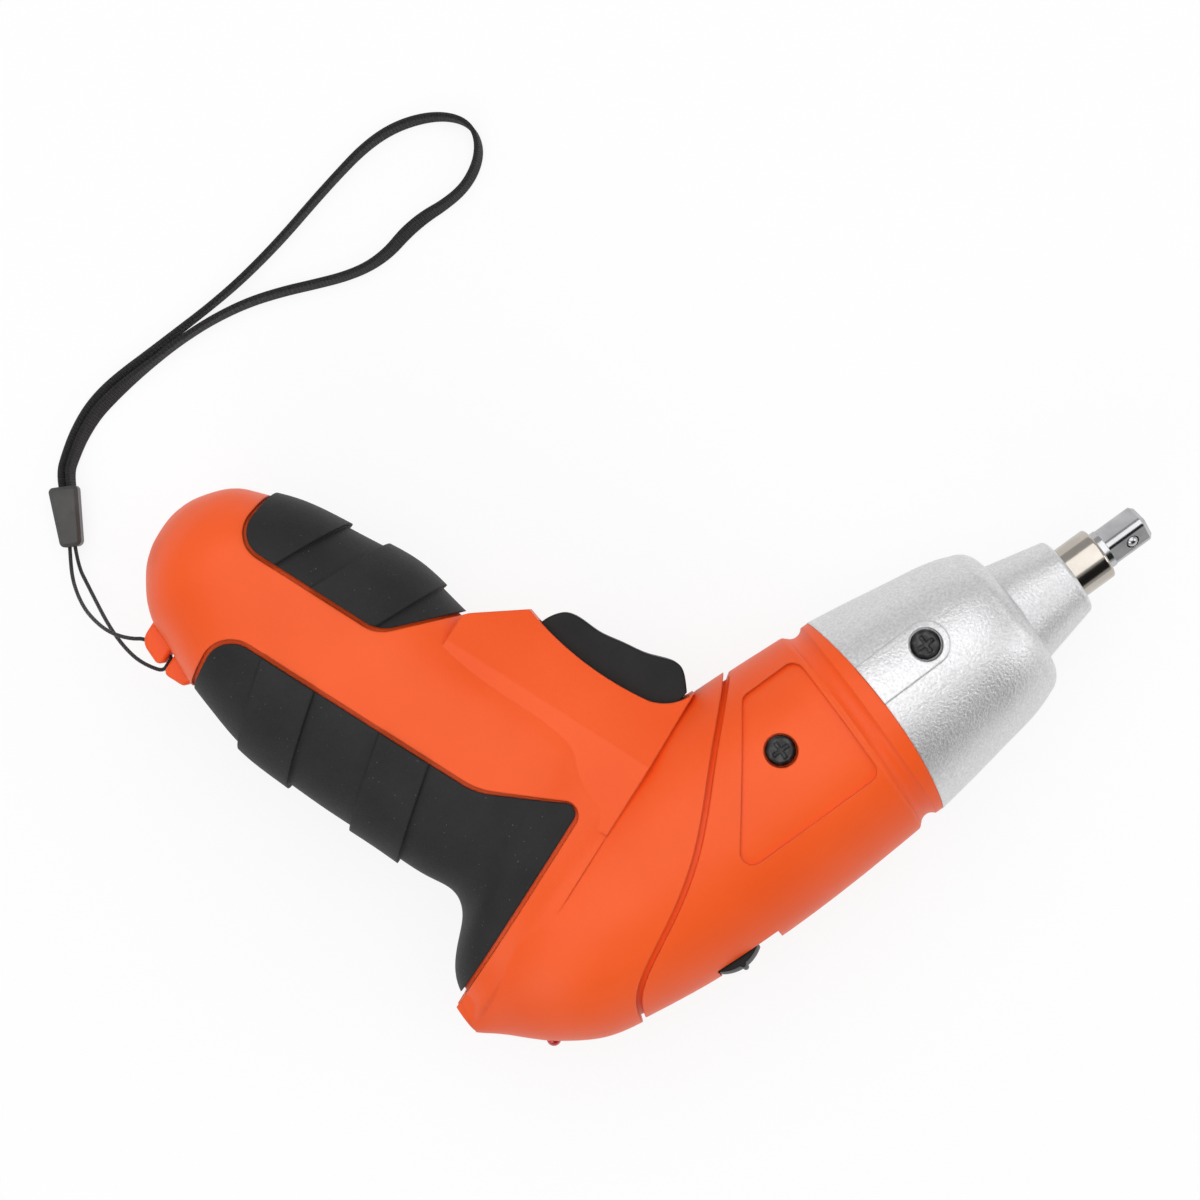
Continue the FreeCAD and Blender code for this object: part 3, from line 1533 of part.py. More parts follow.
def route_path(name, points):
    """Straight runs joined by tangent arcs, with the arcs' radii printed."""
    edges = []
    radii = []
    start = points[0]
    for before, corner, after in zip(points, points[1:], points[2:]):
        back, ahead = before - corner, after - corner
        cut = route_share * min(back.Length, ahead.Length)
        half_turn = (math.pi - back.getAngle(ahead)) / 2
        radius = cut / math.tan(half_turn)
        first = corner + back.normalize() * cut
        last = corner + ahead.normalize() * cut
        bisector = (back + ahead).normalize()
        middle = corner + bisector * (math.hypot(radius, cut) - radius)
        edges += [line(start, first), arc(first, middle, last)]
        radii.append(round(radius, 1))
        start = last
    edges.append(line(start, points[-1]))
    print(name, "bend radii", radii)
    return Part.Wire(edges)


def swept(name, points, section, area):
    """Sweep of a section along a route, with its volume compared with section times length."""
    path = route_path(name, points)
    solid = path.makePipeShell([section], True, False)
    print(name, "length", round(path.Length, 1), "volume share", round(solid.Volume / (area * path.Length), 4))
    return solid


def strap_thread(name, route):
    points = [Vector(*place) for place in route]
    section = Part.Wire(Part.makeCircle(thread_radius, points[0], points[1] - points[0]))
    return swept(name, points, section, math.pi * thread_radius ** 2)


def strap_webbing():
    """Flat webbing that stands on its edge on the surface."""
    height = webbing_width / 2 - surface_drop
    points = [Vector(along, across, height) for along, across in WEBBING_ROUTE]
    out = (points[1] - points[0]).normalize()
    across = SIDE.cross(out) * (webbing_thickness / 2)
    up = SIDE * (webbing_width / 2)
    corners = [points[0] + across + up, points[0] - across + up, points[0] - across - up, points[0] + across - up]
    section = Part.makePolygon(corners + corners[:1])
    return swept("webbing", points, section, webbing_width * webbing_thickness)


def strap_clip():
    """Tapered clip between the thread and the webbing."""
    narrow, wide = [Vector(*place) for place in CLIP_ROUTE]
    along = (wide - narrow).normalize()
    across = SIDE.cross(along)
    corners = [
        narrow + across * (clip_narrow / 2),
        narrow - across * (clip_narrow / 2),
        wide - across * (clip_wide / 2),
        wide + across * (clip_wide / 2),
    ]
    radii = [clip_narrow_round, clip_narrow_round, clip_wide_round, clip_wide_round]
    outline = face(rounded_outline(corners, radii))
    outline.translate(SIDE * -clip_half_height)
    solid = outline.extrude(SIDE * (clip_half_height * 2))
    rims = [edge for edge in solid.Edges if edge.BoundBox.ZLength < clip_chamfer]
    return solid.makeChamfer(clip_chamfer, rims)


def tool_pieces():
    """Every piece of the tool itself, by node name."""
    left = housing_left()
    rear_grip = grip(rear_grip_outline(0), bands(REAR_BAND_SHARES, rear_band_slant_share, -rear_band_depth))
    front_grip = grip(
        front_grip_outline(0), bands(FRONT_BAND_SHARES, -front_band_slant_share, front_band_depth))
    pieces = {
        "housing_left": left,
        "housing_right": mirrored(left),
        "grip_rear_left": rear_grip,
        "grip_rear_right": mirrored(rear_grip),
        "grip_front_left": front_grip,
        "grip_front_right": mirrored(front_grip),
        "nose_cone": nose_cone(),
        "housing_screws": housing_screws(),
        "nose_screws": nose_screws(),
        "trigger": trigger(),
        "switch_plunger": switch_plunger(),
        "trigger_switch": trigger_switch(),
        "direction_slider": direction_slider(),
        "direction_switch": direction_switch(),
        "motor_can": motor_can(),
        "motor_end_cap": motor_end_cap(),
        "motor_terminals": motor_terminals(),
        "motor_magnets": motor_magnets(),
        "motor_armature": motor_armature(),
        "motor_shaft": motor_shaft(),
        "motor_pinion": motor_pinion(),
        "motor_screws": motor_screws(),
        "gear_case": gear_case(),
        "carrier_1": carrier_one(),
        "output_carrier": output_carrier(),
        "chuck_spindle": chuck_spindle(),
        "chuck_magnet": chuck_magnet(),
        "spindle_bush_rear": rear_bush(),
        "spindle_bush_front": front_bush(),
        "thrust_washer": thrust_washer(),
        "retaining_ring": retaining_ring(),
        "socket_adapter": socket_adapter(),
        "detent_ball": detent_ball(),
        "battery_tabs": battery_tabs(),
        "charge_lamp": charge_lamp(),
        "charge_socket": charge_socket(),
        "charge_board": charge_board(),
    }
    for index, letter in enumerate("abc"):
        pieces["planet_1" + letter] = planet(index, planets_one_at, planet_width_one, pin_radius_one)
        pieces["planet_2" + letter] = planet(index, planets_two_at, planet_width_two, pin_radius_two)
    for index, (depth, side) in enumerate(cell_places()):
        pieces["battery_cell_" + str(index + 1)] = battery_cell(depth, side)
    return pieces


def strap_pieces():
    return {
        "strap_thread_a": strap_thread("thread a", THREAD_A_ROUTE),
        "strap_thread_b": strap_thread("thread b", THREAD_B_ROUTE),
        "strap_clip": strap_clip(),
        "strap_webbing": strap_webbing(),
    }


def tight_box(shapes):
    box = FreeCAD.BoundBox()
    for shape in shapes:
        for point in shape.tessellate(slide_clearance)[0]:
            box.add(point)
    return box


def report_place(name, place):
    print(name, [round(value, 3) for value in place])


def main():
    pieces = tool_pieces()
    box = tight_box(pieces.values())
    move = Vector(-box.Center.x, -box.Center.y, -box.ZMin)
    report_place("move", move)
    report_place("size", Vector(box.XLength, box.YLength, box.ZLength))
    tip = Vector(chuck_front_at + adapter_neck_length + adapter_square_length, 0, 0)
    middle, inward = jack_place()
    report_place("square drive tip", tip + move)
    report_place("chuck mouth", Vector(chuck_front_at, 0, 0) + move)
    report_place("charge socket mouth", middle + move)
    report_place("charge socket inward", inward)
    report_place("lug tunnel", on_handle(lug_low, -lug_tunnel_depth) + move)
    report_place("handle down", DOWN)
    report_place("handle out", OUT)
    report_place("detent direction", detent_direction())
    report_place("detent ball", Vector(tip.x - detent_back, 0, 0) + move)
    for index in range(planet_count):
        report_place("planet " + str(index + 1), planet_centre(index, planets_one_at) + move)
    pieces.update(strap_pieces())
    os.makedirs("parts", exist_ok=True)
    for name, shape in pieces.items():
        shape.translate(move)
        shape.exportStep("parts/" + name + ".step")
        print(name, shape.isValid(), len(shape.Solids), round(shape.Volume, 1))


if __name__ == "__main__":
    main()
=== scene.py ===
import json
import math

import bpy
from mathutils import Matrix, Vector


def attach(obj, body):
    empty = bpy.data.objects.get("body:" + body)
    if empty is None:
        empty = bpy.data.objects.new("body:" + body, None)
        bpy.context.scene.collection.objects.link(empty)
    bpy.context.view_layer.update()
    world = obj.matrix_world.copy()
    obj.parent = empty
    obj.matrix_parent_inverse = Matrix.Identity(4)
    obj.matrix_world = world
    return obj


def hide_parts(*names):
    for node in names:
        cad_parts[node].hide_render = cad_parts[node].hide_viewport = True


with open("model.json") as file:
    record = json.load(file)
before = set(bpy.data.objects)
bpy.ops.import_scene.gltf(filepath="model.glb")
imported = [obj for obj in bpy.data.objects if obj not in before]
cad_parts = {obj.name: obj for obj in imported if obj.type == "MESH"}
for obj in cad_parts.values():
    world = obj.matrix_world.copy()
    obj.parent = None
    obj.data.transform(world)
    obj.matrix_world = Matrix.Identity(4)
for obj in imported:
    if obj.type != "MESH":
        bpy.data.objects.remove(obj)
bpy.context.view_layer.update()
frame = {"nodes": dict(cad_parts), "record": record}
nodes = frame["nodes"]

# All lengths are in metres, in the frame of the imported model. The tool frame has its zero on the spindle.
MM = 0.001
TOOL_ZERO = Vector((10.883, -44.536, 22.950)) * MM
photo_centre = Vector((-20.0, 50.95, 0.0)) * MM
photo_distance = 0.600
photo_turn = -36.0
lens_mm = 90.0
sensor_mm = 36.0

thread_diameter = 0.0008
webbing_width = 0.0036
webbing_thickness = 0.0010
webbing_ribs = 340
webbing_cords = 110
surface_drop = 22.95  # millimetres from the spindle down to the floor

# Studio: strengths, the shares of light and the lamps (name, place, target, size, power)
world_strength = 0.50
floor_half = 3.0
floor_colour = (0.90, 0.90, 0.90, 1.0)
floor_glow_share = 0.85
white = (1.0, 1.0, 1.0, 1.0)
card_shade = (0.03, 0.03, 0.03, 1.0)
CARD_SIDES = (
    ("X", 0.55, 0.35),
    ("X", -0.55, -0.35),
    ("Y", -0.30, -0.45),
    ("Z", 0.20, 0.30),
    ("Z", 0.90, 0.82),
)
LAMPS = (
    ("overhead", (0.10, 0.30, 1.1), (0.0, 0.0, 0.0), 1.5, 10.0),
    ("side_fill", (-0.9, -0.4, 0.7), (0.0, 0.0, 0.02), 0.6, 2.6),
    ("front_fill", (0.9, -0.6, 0.6), (0.0, 0.0, 0.02), 0.5, 2.0),
)

# Routes of the strap in the tool frame, in millimetres
THREAD_A_ROUTE = (
    (-97.47, 96.42, 0.0),
    (-98.21, 98.28, 0.0),
    (-100.2, 99.6, -0.5),
    (-102.3, 101.8, -2.0),
    (-104.0, 104.4, -4.2),
    (-105.2, 107.6, -7.3),
    (-105.95, 111.0, -10.8),
    (-105.95, 114.6, -14.4),
    (-105.4, 118.0, -17.6),
    (-104.1, 121.2, -19.7),
    (-102.29, 124.23, -20.5),
)
THREAD_B_ROUTE = (
    (-96.37, 93.63, 0.0),
    (-95.74, 92.05, 0.0),
    (-97.41, 91.39, 0.0),
    (-99.01, 90.81, 0.0),
    (-100.6, 92.9, -0.6),
    (-102.0, 95.6, -1.6),
    (-102.9, 98.8, -3.6),
    (-103.5, 102.6, -6.7),
    (-103.75, 106.7, -10.3),
    (-103.65, 111.2, -14.2),
    (-103.45, 115.6, -17.5),
    (-103.1, 119.9, -19.8),
    (-101.31, 123.71, -20.5),
)
WEBBING_ROUTE = (
    (-96.09, 135.14),
    (-94.73, 137.70),
    (-91.7, 140.0),
    (-87.5, 142.7),
    (-82.2, 145.05),
    (-77.0, 146.15),
    (-71.8, 146.7),
    (-65.5, 147.0),
    (-58.3, 147.3),
    (-51.0, 147.5),
    (-43.5, 148.0),
    (-36.0, 149.0),
    (-28.0, 150.5),
    (-20.0, 152.4),
    (-12.0, 154.1),
    (-5.0, 155.35),
    (1.5, 155.4),
    (7.5, 153.9),
    (12.4, 151.3),
    (15.4, 148.0),
    (16.1, 144.6),
    (14.6, 141.0),
    (11.4, 138.2),
    (7.0, 136.4),
    (2.0, 136.1),
    (-3.0, 136.5),
    (-8.0, 136.1),
    (-13.0, 134.9),
    (-18.2, 134.9),
    (-23.5, 136.2),
    (-29.0, 138.4),
    (-35.8, 141.3),
    (-43.0, 143.7),
    (-51.0, 145.1),
    (-58.8, 145.5),
    (-65.5, 145.3),
    (-71.7, 145.0),
    (-76.8, 144.5),
    (-81.85, 143.5),
    (-86.9, 141.3),
    (-90.8, 138.8),
    (-93.32, 136.94),
    (-94.68, 134.38),
)
# Lean of the webbing from upright at each point of its route, in degrees about the way it runs
WEBBING_LEANS = (
    -15, -18, -22, -28, -36, -40, -28, -16, -10, -8, -10, -12, -14, -14, -14, -18, -20, -20, -14, -6,
    6, 20, 24, 22, 24, 34, 38, 30, 22, 20, 20, 20, 18, 14, 12, 14, 26, 38, 36, 28, 22, 18, 15,
)


def row_point(x, y, z):
    return TOOL_ZERO + Vector((x, y, z)) * MM


class Shader:
    """A material with one principled shader, and short calls for the nodes that feed it."""

    def __init__(self, name, roughness=0.5, metallic=0.0, **constants):
        self.material = bpy.data.materials.new(name)
        self.material.use_nodes = True
        self.tree = self.material.node_tree
        self.base = self.tree.nodes["Principled BSDF"]
        self.base.inputs["Roughness"].default_value = roughness
        self.base.inputs["Metallic"].default_value = metallic
        for socket, value in constants.items():
            self.base.inputs[socket.replace("_", " ")].default_value = value
        self.place = self.add("ShaderNodeTexCoord").outputs["Object"]

    def add(self, kind, **settings):
        node = self.tree.nodes.new(kind)
        for name, value in settings.items():
            setattr(node, name, value)
        return node

    def join(self, output, target):
        self.tree.links.new(output, target)

    def noise(self, size, detail=3.0, roughness=0.55, stretch=None):
        """Noise whose cells are about size metres across."""
        node = self.add("ShaderNodeTexNoise")
        node.inputs["Scale"].default_value = 1.0 / size
        node.inputs["Detail"].default_value = detail
        node.inputs["Roughness"].default_value = roughness
        place = self.place
        if stretch:
            mapping = self.add("ShaderNodeMapping")
            mapping.inputs["Scale"].default_value = stretch
            self.join(place, mapping.inputs["Vector"])
            place = mapping.outputs["Vector"]
        self.join(place, node.inputs["Vector"])
        return node.outputs["Fac"]

    def cells(self, size):
        node = self.add("ShaderNodeTexVoronoi")
        node.inputs["Scale"].default_value = 1.0 / size
        self.join(self.place, node.inputs["Vector"])
        return node.outputs["Distance"]

    def waves(self, size, direction, turn=0.0):
        node = self.add("ShaderNodeTexWave", bands_direction=direction)
        node.inputs["Scale"].default_value = math.pi / 10 / size
        node.inputs["Distortion"].default_value = 0.6
        mapping = self.add("ShaderNodeMapping")
        mapping.inputs["Rotation"].default_value = (0.0, 0.0, turn)
        self.join(self.place, mapping.inputs["Vector"])
        self.join(mapping.outputs["Vector"], node.inputs["Vector"])
        return node.outputs["Fac"]

    def ramp(self, factor, stops):
        """Colours along a factor: pairs of a place from 0 to 1 and a linear colour."""
        node = self.add("ShaderNodeValToRGB")
        elements = node.color_ramp.elements
        while len(elements) < len(stops):
            elements.new(0.5)
        for element, (place, colour) in zip(elements, stops):
            element.position = place
            element.color = (*colour, 1.0)
        self.join(factor, node.inputs["Fac"])
        return node.outputs["Color"]

    def mix(self, factor, one, two, blend="MIX"):
        node = self.add("ShaderNodeMix", data_type="RGBA", blend_type=blend)
        self.join(factor, node.inputs["Factor"])
        for value, socket in ((one, node.inputs["A"]), (two, node.inputs["B"])):
            if isinstance(value, tuple):
                socket.default_value = (*value, 1.0)
            else:
                self.join(value, socket)
        return node.outputs["Result"]

    def span(self, factor, low, high):
        node = self.add("ShaderNodeMapRange")
        node.inputs["To Min"].default_value = low
        node.inputs["To Max"].default_value = high
        self.join(factor, node.inputs["Value"])
        return node.outputs["Result"]

    def colour(self, output):
        self.join(output, self.base.inputs["Base Color"])

    def gloss(self, factor, low, high):
        self.join(self.span(factor, low, high), self.base.inputs["Roughness"])

    def relief(self, heights, edge=None):
        """Bumps from pairs of a height and its depth in metres, over edges rounded by edge metres."""
        normal = None
        if edge:
            bevel = self.add("ShaderNodeBevel", samples=4)
            bevel.inputs["Radius"].default_value = edge
            normal = bevel.outputs["Normal"]
        for height, depth in heights:
            bump = self.add("ShaderNodeBump")
            bump.inputs["Strength"].default_value = 1.0
            bump.inputs["Distance"].default_value = depth
            self.join(height, bump.inputs["Height"])
            if normal:
                self.join(normal, bump.inputs["Normal"])
            normal = bump.outputs["Normal"]
        self.join(normal, self.base.inputs["Normal"])


def orange_plastic():
    """Moulded plastic with a fine spark-eroded skin."""
    shader = Shader("orange_plastic", roughness=0.4, Specular_IOR_Level=0.25)
    drift = shader.noise(0.03, detail=2.0)
    grain = shader.noise(0.00045, detail=2.0)
    shader.colour(shader.ramp(drift, ((0.3, (0.82, 0.090, 0.011)), (0.7, (0.88, 0.108, 0.018)))))
    shader.gloss(grain, 0.36, 0.50)
    shader.relief(((grain, 0.00003), (drift, 0.0002)), edge=0.0005)
    return shader.material


def grip_rubber():
    """Dull rubber with sparse dust on it."""
    shader = Shader("grip_rubber", Specular_IOR_Level=0.28)
    grain = shader.noise(0.0006, detail=4.0)
    patches = shader.noise(0.012, detail=3.0)
    dust = shader.noise(0.0005, detail=1.0)
    body = shader.ramp(patches, ((0.3, (0.010, 0.010, 0.011)), (0.7, (0.017, 0.017, 0.018))))
    specks = shader.ramp(dust, ((0.76, (0.0, 0.0, 0.0)), (0.80, (1.0, 1.0, 1.0))))
    shader.colour(shader.mix(specks, body, (0.11, 0.11, 0.11)))
    shader.gloss(grain, 0.55, 0.75)
    shader.relief(((grain, 0.00006),), edge=0.0006)
    return shader.material


def nose_paint():
    """Silver paint whose flakes give it a sparkling grain."""
    shader = Shader("nose_paint", metallic=0.75)
    grain = shader.noise(0.00055, detail=3.0, roughness=0.7)
    flakes = shader.cells(0.0006)
    shader.colour(shader.ramp(grain, ((0.3, (0.58, 0.58, 0.59)), (0.7, (0.80, 0.80, 0.81)))))
    shader.gloss(flakes, 0.28, 0.46)
    shader.relief(((grain, 0.00011), (flakes, 0.00003)), edge=0.0005)
    return shader.material


def black_screw():
    shader = Shader("black_screw", metallic=0.6)
    grain = shader.noise(0.0003)
    wear = shader.noise(0.0015, detail=5.0)
    shader.colour(shader.ramp(wear, ((0.45, (0.016, 0.016, 0.017)), (0.75, (0.07, 0.07, 0.072)))))
    shader.gloss(grain, 0.15, 0.32)
    shader.relief(((grain, 0.00002),), edge=0.0004)
    return shader.material


def black_plastic():
    shader = Shader("black_plastic", Specular_IOR_Level=0.20)
    grain = shader.noise(0.0005, detail=3.0)
    patches = shader.noise(0.008)
    shader.colour(shader.ramp(patches, ((0.3, (0.006, 0.006, 0.006)), (0.7, (0.011, 0.011, 0.011)))))
    shader.gloss(grain, 0.38, 0.52)
    shader.relief(((grain, 0.00003),), edge=0.0004)
    return shader.material


def turned_metal(name, dark, light, roughness, line_depth=0.000004):
    """Bright metal with the fine rings that a lathe leaves round the spindle."""
    shader = Shader(name, metallic=1.0)
    rings = shader.noise(0.0006, detail=4.0, stretch=(6.0, 0.02, 0.02))
    smudges = shader.noise(0.005, detail=3.0)
    shader.colour(shader.ramp(smudges, ((0.3, dark), (0.7, light))))
    shader.gloss(rings, roughness * 0.8, roughness * 1.3)
    shader.relief(((rings, line_depth),), edge=0.0002)
    return shader.material


def cast_metal(name, dark, light, roughness):
    shader = Shader(name, metallic=1.0)
    grain = shader.noise(0.0008, detail=4.0)
    shader.colour(shader.ramp(grain, ((0.3, dark), (0.7, light))))
    shader.gloss(grain, roughness * 0.85, roughness * 1.25)
    shader.relief(((grain, 0.00003),))
    return shader.material


def cell_wrap():
    shader = Shader("cell_wrap", Coat_Weight=0.4)
    shrink = shader.noise(0.006, detail=4.0)
    shader.colour(shader.ramp(shrink, ((0.3, (0.008, 0.07, 0.028)), (0.7, (0.014, 0.10, 0.04)))))
    shader.gloss(shrink, 0.18, 0.32)
    shader.relief(((shrink, 0.00015),))
    return shader.material


def board_green():
    shader = Shader("board_green", Coat_Weight=0.3)
    tracks = shader.cells(0.0022)
    shader.colour(shader.ramp(tracks, ((0.35, (0.006, 0.09, 0.03)), (0.45, (0.012, 0.16, 0.05)))))
    shader.gloss(tracks, 0.3, 0.45)
    shader.relief(((tracks, 0.00005),))
    return shader.material


def lamp_red():
    shader = Shader("lamp_red", Coat_Weight=0.6, Transmission_Weight=0.15)
    depth = shader.noise(0.0012)
    shader.colour(shader.ramp(depth, ((0.3, (0.42, 0.004, 0.008)), (0.7, (0.72, 0.012, 0.016)))))
    shader.gloss(depth, 0.10, 0.2)
    shader.relief(((depth, 0.00003),))
    return shader.material


def strap_black():
    """Tight plain weave."""
    shader = Shader("strap_black", Sheen_Weight=0.25, Sheen_Roughness=0.5)
    warp = shader.waves(0.0005, "X", 0.3)
    weft = shader.waves(0.0005, "Y", 0.3)
    fuzz = shader.noise(0.0004, detail=4.0)
    weave = shader.mix(fuzz, warp, weft)
    shader.colour(shader.ramp(weave, ((0.2, (0.006, 0.006, 0.007)), (0.8, (0.022, 0.022, 0.024)))))
    shader.gloss(fuzz, 0.65, 0.9)
    shader.relief(((weave, 0.00015),))
    return shader.material


def webbing_weave():
    """Cords along the webbing and ribs across it, laid out on its own length and girth."""
    shader = Shader("webbing_weave", Sheen_Weight=0.08, Sheen_Roughness=0.5, Specular_IOR_Level=0.3)
    fuzz = shader.noise(0.0004, detail=4.0)
    shader.place = shader.add("ShaderNodeTexCoord").outputs["UV"]
    ribs = shader.waves(1 / webbing_ribs, "X")
    cords = shader.waves(1 / webbing_cords, "Y")
    weave = shader.mix(fuzz, ribs, cords)
    shader.colour(shader.ramp(weave, ((0.2, (0.004, 0.004, 0.004)), (0.8, (0.026, 0.026, 0.027)))))
    shader.gloss(fuzz, 0.65, 0.9)
    shader.relief(((weave, 0.00015),))
    return shader.material


def clip_plastic():
    """Grey-black plastic with scuffed edges."""
    shader = Shader("clip_plastic", Specular_IOR_Level=0.35)
    grain = shader.noise(0.0004, detail=3.0)
    scuffs = shader.noise(0.003, detail=4.0)
    shader.colour(shader.ramp(scuffs, ((0.3, (0.044, 0.044, 0.043)), (0.7, (0.060, 0.060, 0.058)))))
    shader.gloss(grain, 0.34, 0.50)
    shader.relief(((grain, 0.00003),), edge=0.0003)
    return shader.material


MATERIALS = {
    "orange_plastic": orange_plastic(),
    "grip_rubber": grip_rubber(),
    "nose_paint": nose_paint(),
    "black_screw": black_screw(),
    "black_plastic": black_plastic(),
    "motor_steel": turned_metal("motor_steel", (0.42, 0.42, 0.44), (0.56, 0.56, 0.58), 0.3),
    "contact_metal": cast_metal("contact_metal", (0.60, 0.46, 0.18), (0.72, 0.58, 0.26), 0.3),
    "gear_metal": cast_metal("gear_metal", (0.34, 0.34, 0.35), (0.46, 0.46, 0.47), 0.4),
    "bush_bronze": cast_metal("bush_bronze", (0.44, 0.27, 0.10), (0.56, 0.36, 0.15), 0.42),
    "spindle_nickel": turned_metal("spindle_nickel", (0.46, 0.42, 0.375), (0.54, 0.50, 0.45), 0.14),
    "drive_steel": turned_metal("drive_steel", (0.40, 0.40, 0.41), (0.55, 0.55, 0.56), 0.18),
    "cell_wrap": cell_wrap(),
    "board_green": board_green(),
    "lamp_red": lamp_red(),
    "strap_black": strap_black(),
}
WEBBING_WEAVE = webbing_weave()
CLIP_PLASTIC = clip_plastic()


def dress_nodes():
    """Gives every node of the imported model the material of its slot, and the clip a paler one."""
    for entry in frame["record"]["subparts"]:
        node = nodes[entry["node"]]
        node.data.materials.clear()
        material = CLIP_PLASTIC if entry["node"] == "strap_clip" else MATERIALS[entry["material_slot"]]
        node.data.materials.append(material)


def route_curve(name, points, bevel, material, extrude=0.0, tilts=None):
    """Smooth curve with the route's points as its control points, each with a radius of a millimetre."""
    data = bpy.data.curves.new(name, "CURVE")
    data.dimensions = "3D"
    data.bevel_depth = bevel / MM
    data.bevel_resolution = 4
    data.extrude = extrude / MM
    data.resolution_u = 10
    data.use_fill_caps = True
    spline = data.splines.new("NURBS")
    spline.points.add(len(points) - 1)
    for index, (control, place) in enumerate(zip(spline.points, points)):
        control.co = (*place, 1.0)
        control.radius = MM
        if tilts:
            control.tilt = tilts[index]
    spline.order_u = 3
    spline.use_endpoint_u = True
    piece = bpy.data.objects.new(name, data)
    bpy.context.scene.collection.objects.link(piece)
    data.materials.append(material)
    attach(piece, "tool")
    return piece


def strap():
    """The wrist strap's two strands of thread and its loop of webbing; the clip stays the model's own
    piece.
    """
    thread = MATERIALS["strap_black"]
    radius = thread_diameter / 2
    strand_a = route_curve("thread_a", [row_point(*place) for place in THREAD_A_ROUTE], radius, thread)
    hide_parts("strap_thread_a")
    strand_b = route_curve("thread_b", [row_point(*place) for place in THREAD_B_ROUTE], radius, thread)
    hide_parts("strap_thread_b")
    leans = [math.radians(lean) for lean in WEBBING_LEANS]
    points = []
    for (x, y), lean in zip(WEBBING_ROUTE, leans):
        rise = (webbing_width * math.cos(lean) + webbing_thickness * abs(math.sin(lean))) / 2
        points.append(row_point(x, y, rise / MM - surface_drop))
    round_edge = webbing_thickness / 2
    flat_half = webbing_width / 2 - round_edge
    loop = route_curve("webbing_loop", points, round_edge, WEBBING_WEAVE, flat_half, leans)
    loop.data.twist_mode = "Z_UP"
    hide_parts("strap_webbing")


def camera():
    """Looks straight down, turned as the photo is."""
    data = bpy.data.cameras.new("photo_camera")
    data.lens = lens_mm
    data.sensor_width = sensor_mm
    data.sensor_height = sensor_mm
    data.clip_start = 0.01
    eye = bpy.data.objects.new("photo_camera", data)
    eye.location = TOOL_ZERO + photo_centre + Vector((0.0, 0.0, photo_distance))
    eye.rotation_euler = (0.0, 0.0, math.radians(photo_turn))
    bpy.context.scene.collection.objects.link(eye)
    bpy.context.scene.camera = eye


def area_light(name, place, target, size, power):
    data = bpy.data.lights.new(name, "AREA")
    data.size = size
    data.energy = power
    lamp = bpy.data.objects.new(name, data)
    lamp.location = place
    lamp.rotation_euler = (Vector(target) - Vector(place)).to_track_quat("-Z", "Y").to_euler()
    bpy.context.scene.collection.objects.link(lamp)


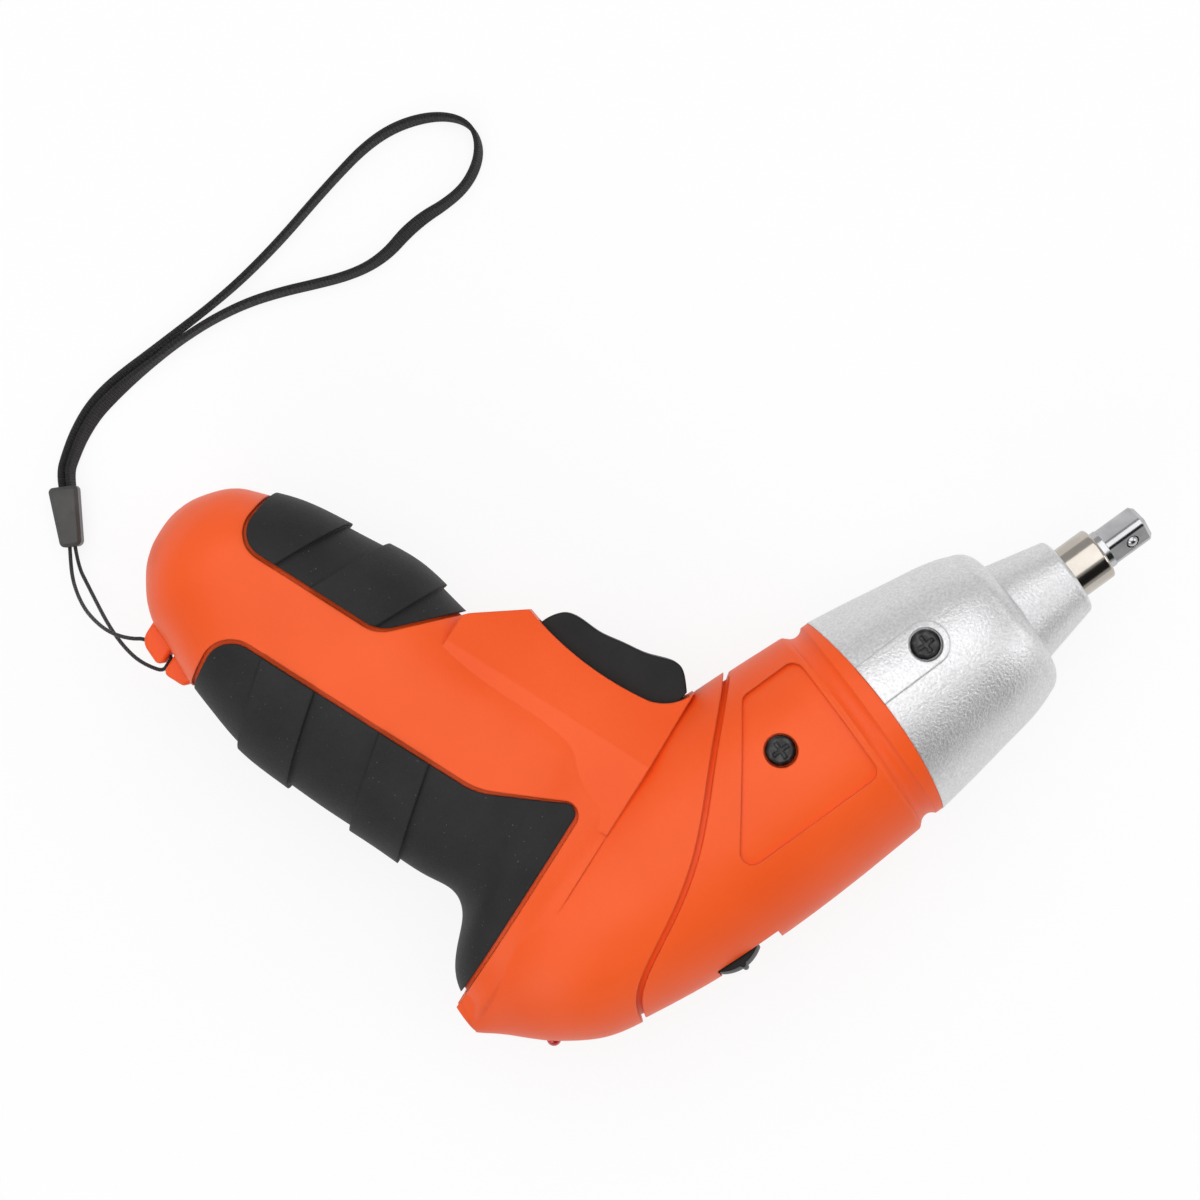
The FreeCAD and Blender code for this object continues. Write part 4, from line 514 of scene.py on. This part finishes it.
def floor():
    """A pale floor that shows mostly white to the camera and to reflections, and keeps the shadow."""
    mesh = bpy.data.meshes.new("floor")
    half = floor_half
    corners = [(-half, -half, 0), (half, -half, 0), (half, half, 0), (-half, half, 0)]
    mesh.from_pydata(corners, [], [(0, 1, 2, 3)])
    plane = bpy.data.objects.new("floor", mesh)
    bpy.context.scene.collection.objects.link(plane)
    material = bpy.data.materials.new("floor_white")
    material.use_nodes = True
    tree = material.node_tree
    tree.nodes.clear()
    output = tree.nodes.new("ShaderNodeOutputMaterial")
    mixed = tree.nodes.new("ShaderNodeMixShader")
    diffuse = tree.nodes.new("ShaderNodeBsdfDiffuse")
    diffuse.inputs["Color"].default_value = floor_colour
    glow = tree.nodes.new("ShaderNodeEmission")
    path = tree.nodes.new("ShaderNodeLightPath")
    seen = tree.nodes.new("ShaderNodeMath")
    seen.operation = "MAXIMUM"
    share = tree.nodes.new("ShaderNodeMath")
    share.operation = "MULTIPLY"
    share.inputs[1].default_value = floor_glow_share
    tree.links.new(path.outputs["Is Camera Ray"], seen.inputs[0])
    tree.links.new(path.outputs["Is Glossy Ray"], seen.inputs[1])
    tree.links.new(seen.outputs["Value"], share.inputs[0])
    tree.links.new(share.outputs["Value"], mixed.inputs["Fac"])
    tree.links.new(diffuse.outputs["BSDF"], mixed.inputs[1])
    tree.links.new(glow.outputs["Emission"], mixed.inputs[2])
    tree.links.new(mixed.outputs["Shader"], output.inputs["Surface"])
    mesh.materials.append(material)


def studio():
    """White surroundings with one dark card, which bright metal mirrors, and three soft lamps."""
    world = bpy.data.worlds.new("studio")
    world.use_nodes = True
    tree = world.node_tree
    sky = tree.nodes["Background"]
    sky.inputs["Strength"].default_value = world_strength
    way = tree.nodes.new("ShaderNodeTexCoord").outputs["Generated"]
    parts = tree.nodes.new("ShaderNodeSeparateXYZ")
    tree.links.new(way, parts.inputs["Vector"])
    card = None
    for axis, start, end in CARD_SIDES:
        edge = tree.nodes.new("ShaderNodeMapRange")
        edge.inputs["From Min"].default_value = start
        edge.inputs["From Max"].default_value = end
        tree.links.new(parts.outputs[axis], edge.inputs["Value"])
        if card is None:
            card = edge.outputs["Result"]
            continue
        both = tree.nodes.new("ShaderNodeMath")
        both.operation = "MULTIPLY"
        tree.links.new(card, both.inputs[0])
        tree.links.new(edge.outputs["Result"], both.inputs[1])
        card = both.outputs["Value"]
    shade = tree.nodes.new("ShaderNodeMix")
    shade.data_type = "RGBA"
    shade.inputs["A"].default_value = white
    shade.inputs["B"].default_value = card_shade
    tree.links.new(card, shade.inputs["Factor"])
    tree.links.new(shade.outputs["Result"], sky.inputs["Color"])
    backdrop = tree.nodes.new("ShaderNodeBackground")
    backdrop.inputs["Color"].default_value = white
    seen = tree.nodes.new("ShaderNodeMixShader")
    tree.links.new(tree.nodes.new("ShaderNodeLightPath").outputs["Is Camera Ray"], seen.inputs["Fac"])
    tree.links.new(sky.outputs["Background"], seen.inputs[1])
    tree.links.new(backdrop.outputs["Background"], seen.inputs[2])
    tree.links.new(seen.outputs["Shader"], tree.nodes["World Output"].inputs["Surface"])
    bpy.context.scene.world = world
    bpy.context.scene.view_settings.view_transform = "Standard"
    for lamp in LAMPS:
        area_light(*lamp)


camera()
dress_nodes()
strap()
floor()
studio()
